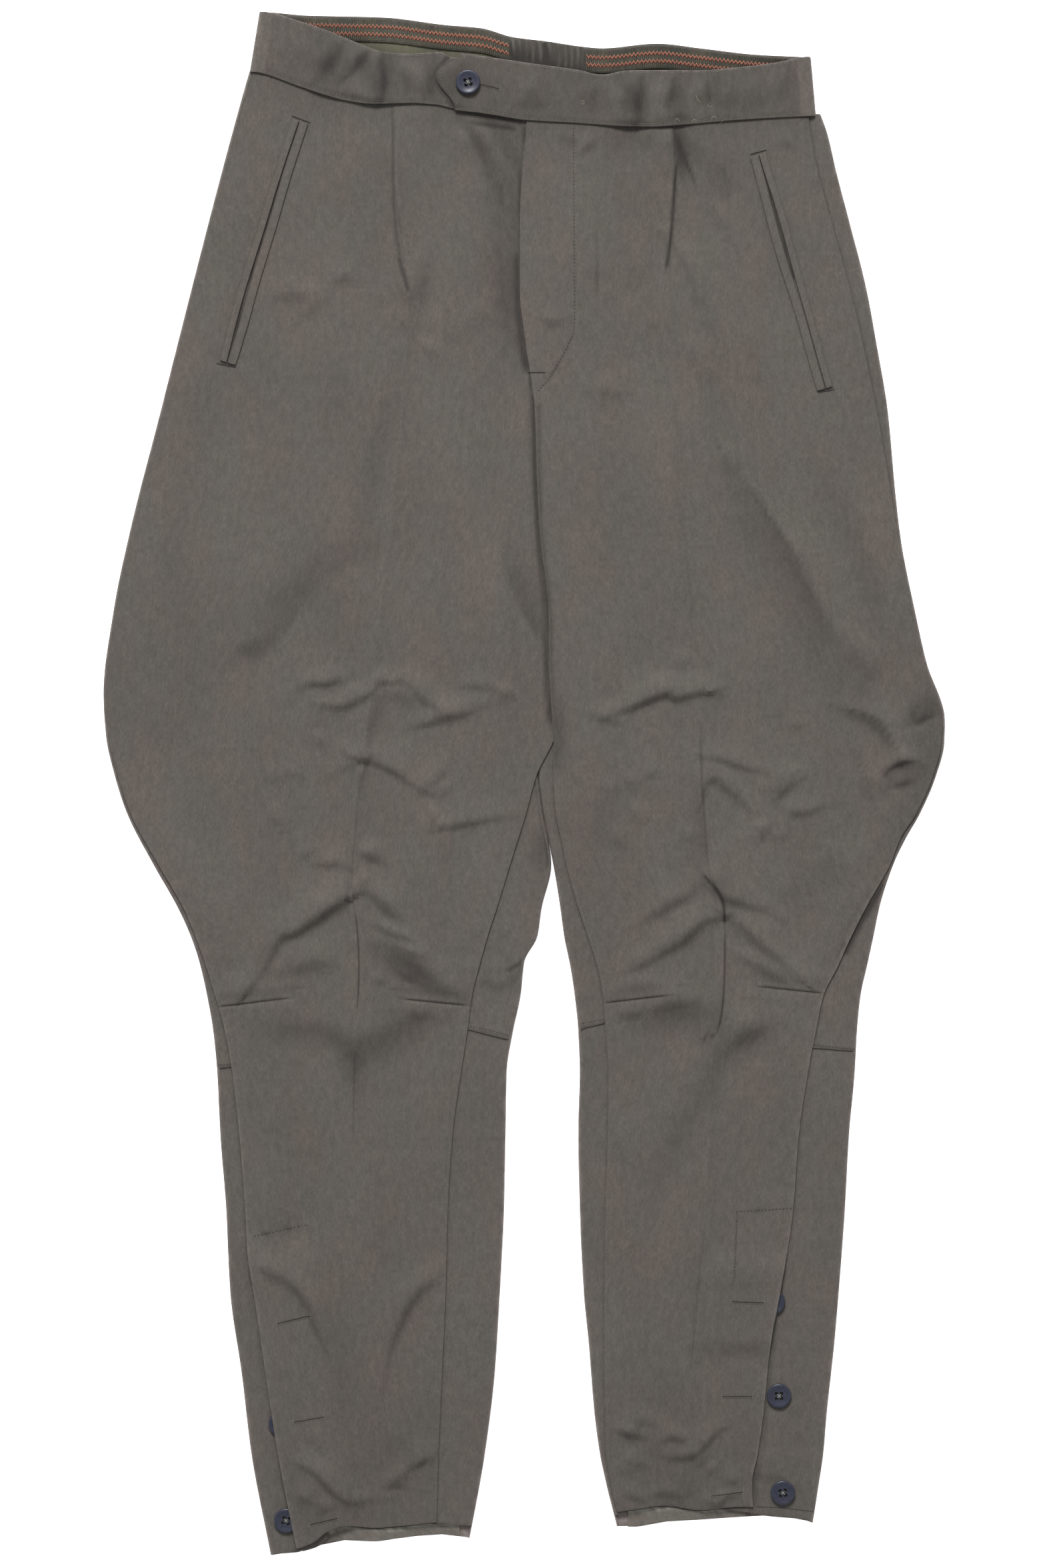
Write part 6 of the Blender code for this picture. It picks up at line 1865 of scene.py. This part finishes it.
def make_slit(name, start, end, surface, material):
    """A narrow dark sheet, pointed at its ends, just over the cloth: painted shade in an opening."""
    t = np.linspace(0, 1, 24)[:, None]
    side = np.array((-1.0, 0.0, 1.0))[None, :]
    length = hypot(end[0] - start[0], end[1] - start[1])
    across = (-(end[1] - start[1]) / length, (end[0] - start[0]) / length)
    lens = SLIT_HALF_WIDTH * np.sin(pi * np.clip(t, 0.02, 0.98)) ** 0.4
    x = along(start[0], end[0], t) + across[0] * side * lens
    drop = along(start[1], end[1], t) + across[1] * side * lens
    z = surface.heights(x, drop) + SLIT_LIFT
    return cloth_shell(name, x, drop, z, SLIT_THICKNESS, material, round_edge=0)


def deep_shade_material():
    made, tree, shader = new_material("cloth_in_deep_shade", {"Roughness": 0.95, "Specular IOR Level": 0.1})
    place = tree.add("ShaderNodeTexCoord").outputs["Object"]
    grain = tree.noise(place, 1400.0, 2.0)
    colour = tree.blend(grain, (0.012, 0.011, 0.010, 1), (0.030, 0.027, 0.024, 1))
    tree.link(colour, shader.inputs["Base Color"])
    return made


FLOOR_SIZE = 12
FLOOR_Z = -0.0006


def make_floor():
    bpy.ops.mesh.primitive_plane_add(size=FLOOR_SIZE, location=(0, 0, FLOOR_Z))
    floor = bpy.context.object
    floor.name = "pale_floor"
    made, _, _ = new_material("pale_floor", {
        "Roughness": 0.9,
        "Base Color": (0.9, 0.9, 0.9, 1),
        "Specular IOR Level": 0.0,
        "Emission Color": (1, 1, 1, 1),
        "Emission Strength": 0.9,
    })
    floor.data.materials.append(made)


def add_light(name, place, target, size, power):
    lamp = bpy.data.lights.new(name, "AREA")
    lamp.shape = "RECTANGLE"
    lamp.size, lamp.size_y = size
    lamp.energy = power
    obj = bpy.data.objects.new(name, lamp)
    bpy.context.scene.collection.objects.link(obj)
    obj.location = place
    obj.rotation_euler = (Vector(target) - Vector(place)).to_track_quat("-Z", "Y").to_euler()


def make_lights():
    world = bpy.data.worlds.new("studio")
    bpy.context.scene.world = world
    world.use_nodes = True
    background = world.node_tree.nodes["Background"]
    background.inputs["Color"].default_value = (1.0, 1.0, 1.0, 1)
    background.inputs["Strength"].default_value = 0.55
    add_light("soft_key", (-0.7, 4.9, 4.6), (0, 0, 0), (2.2, 2.2), 560)


CAMERA_HEIGHT = 3.0
FRAME_HEIGHT = 1.12
SENSOR = 36.0
VIEW_CENTRE = (-0.00119, -0.0004)


def make_camera():
    camera = bpy.data.cameras.new("camera")
    camera.sensor_width = SENSOR
    camera.lens = SENSOR * CAMERA_HEIGHT / FRAME_HEIGHT
    obj = bpy.data.objects.new("camera", camera)
    bpy.context.scene.collection.objects.link(obj)
    obj.location = (*VIEW_CENTRE, CAMERA_HEIGHT)
    bpy.context.scene.camera = obj
    bpy.context.scene.view_settings.view_transform = "Standard"


# Flat cuts in metres, with the area of a piece that doesn't fill its rectangle.
Cut = namedtuple("Cut", "size area", defaults=(None,))
BACK_CUTS = {"thigh": Cut((0.36, 0.72), 0.21), "calf": Cut((0.30, 0.38), 0.085)}


def declare(piece, nodes):
    """Puts a finished piece on the root body and hides the nodes that it stands for."""
    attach(piece, "root")
    if nodes:
        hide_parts(*nodes)


def dress_panels(sides, gabardine, facing_gabardine_painted_light):
    """Makes the fronts, backs, waistband halves and hem facings. Returns the two fronts."""
    fronts = {name: make_front(side, gabardine) for name, side in sides.items()}
    for name, side in sides.items():
        declare(fronts[name], [f"front_{name}"])
        for piece, cut in BACK_CUTS.items():
            declare(make_back(side, piece, gabardine), [f"back_{piece}_{name}"])
    for name, side in sides.items():
        declare(make_waistband(side, gabardine), [f"waistband_{name}"])
        facing = make_hem_facing(side, facing_gabardine_painted_light)
        declare(facing, [f"hem_facing_{name}"])
    return fronts


def dress_inside(sides, finishes):
    """Makes the strips inside the waistband that the dipped front shows."""
    for strip in INSIDE_STRIPS:
        slot = STRIP_SLOTS[strip.kind]
        piece = make_inside_strip(strip, sides[strip.side], finishes[slot])
        declare(piece, [f"{strip.kind}_{strip.side}"])


def dress_pockets(sides, fronts, gabardine):
    """Makes the two welts of each pocket."""
    front_tops = {name: Surface([fronts[name]]) for name in sides}
    for name, side in sides.items():
        for welt in ("front", "side"):
            piece = make_welt(side, welt, front_tops[name], gabardine)
            declare(piece, [f"pocket_{name}_{welt}_welt"])


def dress_buttons(navy):
    """Makes the seven buttons. Returns their threads as (path, height) pairs."""
    pattern = button_mesh()
    tab_z = FLY_Z + 1.65 + BAND / 2 + CLEAR
    strip_z = STRIP_Z + CLOTH / 2 + CLEAR
    strands = []
    for button in (WAIST_BUTTON, *CALF_BUTTONS):
        z = tab_z + 0.6 if button is WAIST_BUTTON else strip_z
        declare(make_button(button, pattern, z, navy), [button.name])
        strands += button_threads(button, z)
    return strands


def sew_buttons(strands, tree, threads):
    """Crossed threads in the buttons' holes, one piece for all the buttons at one height."""
    for k, height in enumerate(sorted({level for _, level in strands})):
        paths = [path for path, level in strands if level == height]
        stitch = Stitch(f"button_threads_{k + 1}", 0.4, 0.8, 0.26, "pale", 0.0, 29 + k)
        declare(sew(stitch, tree, threads, paths, height), [])


def sew_cloth(right, left, cloth, tree, threads):
    """All the stitches that lie on the cloth."""
    rows = (
        (Stitch("seam_stitches", 2.5, 1.7, 0.34, "grey_green"), seam_paths(right, left)),
        (Stitch("bar_tacks", 0.6, 1.7, 0.8, "brown", pi / 2, 5), pocket_bars()),
        (Stitch("buttonhole_stitches", 0.62, 1.15, 0.4, "brown_grey", pi / 2, 9), buttonhole_edges()),
        (Stitch("buttonhole_ends", 0.5, 1.4, 0.5, "pale_green", pi / 2, 13), buttonhole_bars()),
        (Stitch("brown_stitches", 2.5, 1.7, 0.75, "brown", 0.0, 37), brown_paths()),
        (Stitch("knee_stitches", 2.0, 1.2, 0.8, "brown", 0.0, 47), knee_paths()),
        (Stitch("hem_shadow_lines", 0.5, 0.9, 0.55, "brown", 0.0, 41), hem_paths(right, left)),
        (Stitch("stray_threads", 0.6, 1.0, 0.42, "pale_green", 0.0, 43), stray_paths()),
    )
    for stitch, paths in rows:
        declare(sew(stitch, tree, threads, paths, cloth), [])


def sew_tape(sides, tree, threads):
    """The zigzag lines, ribs and edge stitches of the grip tape."""
    light, dark, ribs, edges = [], [], [], []
    for strip in INSIDE_STRIPS:
        if strip.kind != "waist_tape":
            continue
        side = sides[strip.side]
        for below in ZIGZAG_BELOW:
            light += zigzag_paths(strip, side, below, -0.35)
            dark += zigzag_paths(strip, side, below, 0.45)
        for below, length in RIB_ROWS:
            ribs += rib_paths(strip, side, below, length)
        edges.append(tape_edge(strip, side))
    tape_top = TAPE_Z + LINING / 2 + 0.1
    rows = (
        (Stitch("tape_zigzag_light", 0.6, 1.1, 0.8, "orange_brown", 0.0, 17, 0.4), light, tape_top),
        (Stitch("tape_zigzag_dark", 0.6, 1.1, 0.7, "rust", 0.0, 19, 0.15), dark, tape_top),
        (Stitch("tape_ribs", 0.8, 1.3, 0.55, "olive", 0.0, 23), ribs, tape_top),
        (Stitch("tape_edge_stitches", 1.5, 0.7, 0.36, "pale_green", 0.0, 31), edges, BAND + 0.1),
    )
    for stitch, paths, height in rows:
        declare(sew(stitch, tree, threads, paths, height), [])


def main():
    right = Side("right", RIGHT_LEG, RIGHT_HEM, RIGHT_BAND_FRONT, RIGHT_BAND_BACK, RIGHT_FOLDS, -1, False)
    left = Side("left", LEFT_LEG, LEFT_HEM, LEFT_BAND_FRONT, LEFT_BAND_BACK, LEFT_FOLDS, 1, True)
    sides = {"right": right, "left": left}
    groups = {"twill": twill_group(), "heather": heather_group(), "patches": patches_group()}
    gabardine = cloth_material("gabardine_worn", groups, GABARDINE)
    facing_gabardine_painted_light = cloth_material("gabardine_cut_on_the_bias", groups, FACING_GABARDINE_PAINTED_LIGHT)
    lining = cloth_material("lining_olive_cotton", groups, LINING_COTTON)
    tape = cloth_material("grip_tape_ribbed", groups, GRIP_TAPE)
    navy = button_material()
    threads = {name: thread_material(name, *colours) for name, colours in THREADS.items()}
    opening = deep_shade_material()

    fronts = dress_panels(sides, gabardine, facing_gabardine_painted_light)
    dress_inside(sides, {"gabardine": gabardine, "lining_cotton": lining, "waist_tape": tape})
    dress_pockets(sides, fronts, gabardine)
    strands = dress_buttons(navy)

    cloth = Surface([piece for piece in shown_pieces() if piece.name.endswith("_cloth")])
    stitches = stitch_tree()
    sew_buttons(strands, stitches, threads)
    sew_cloth(right, left, cloth, stitches, threads)
    # Dark sheets over the buttonhole slits paint the shade inside their openings.
    for label, (start, end) in BUTTONHOLES.items():
        declare(make_slit(f"buttonhole_{label}_slit", start, end, cloth, opening), [])
    sew_tape(sides, stitches, threads)

    make_floor()
    make_lights()
    make_camera()


main()
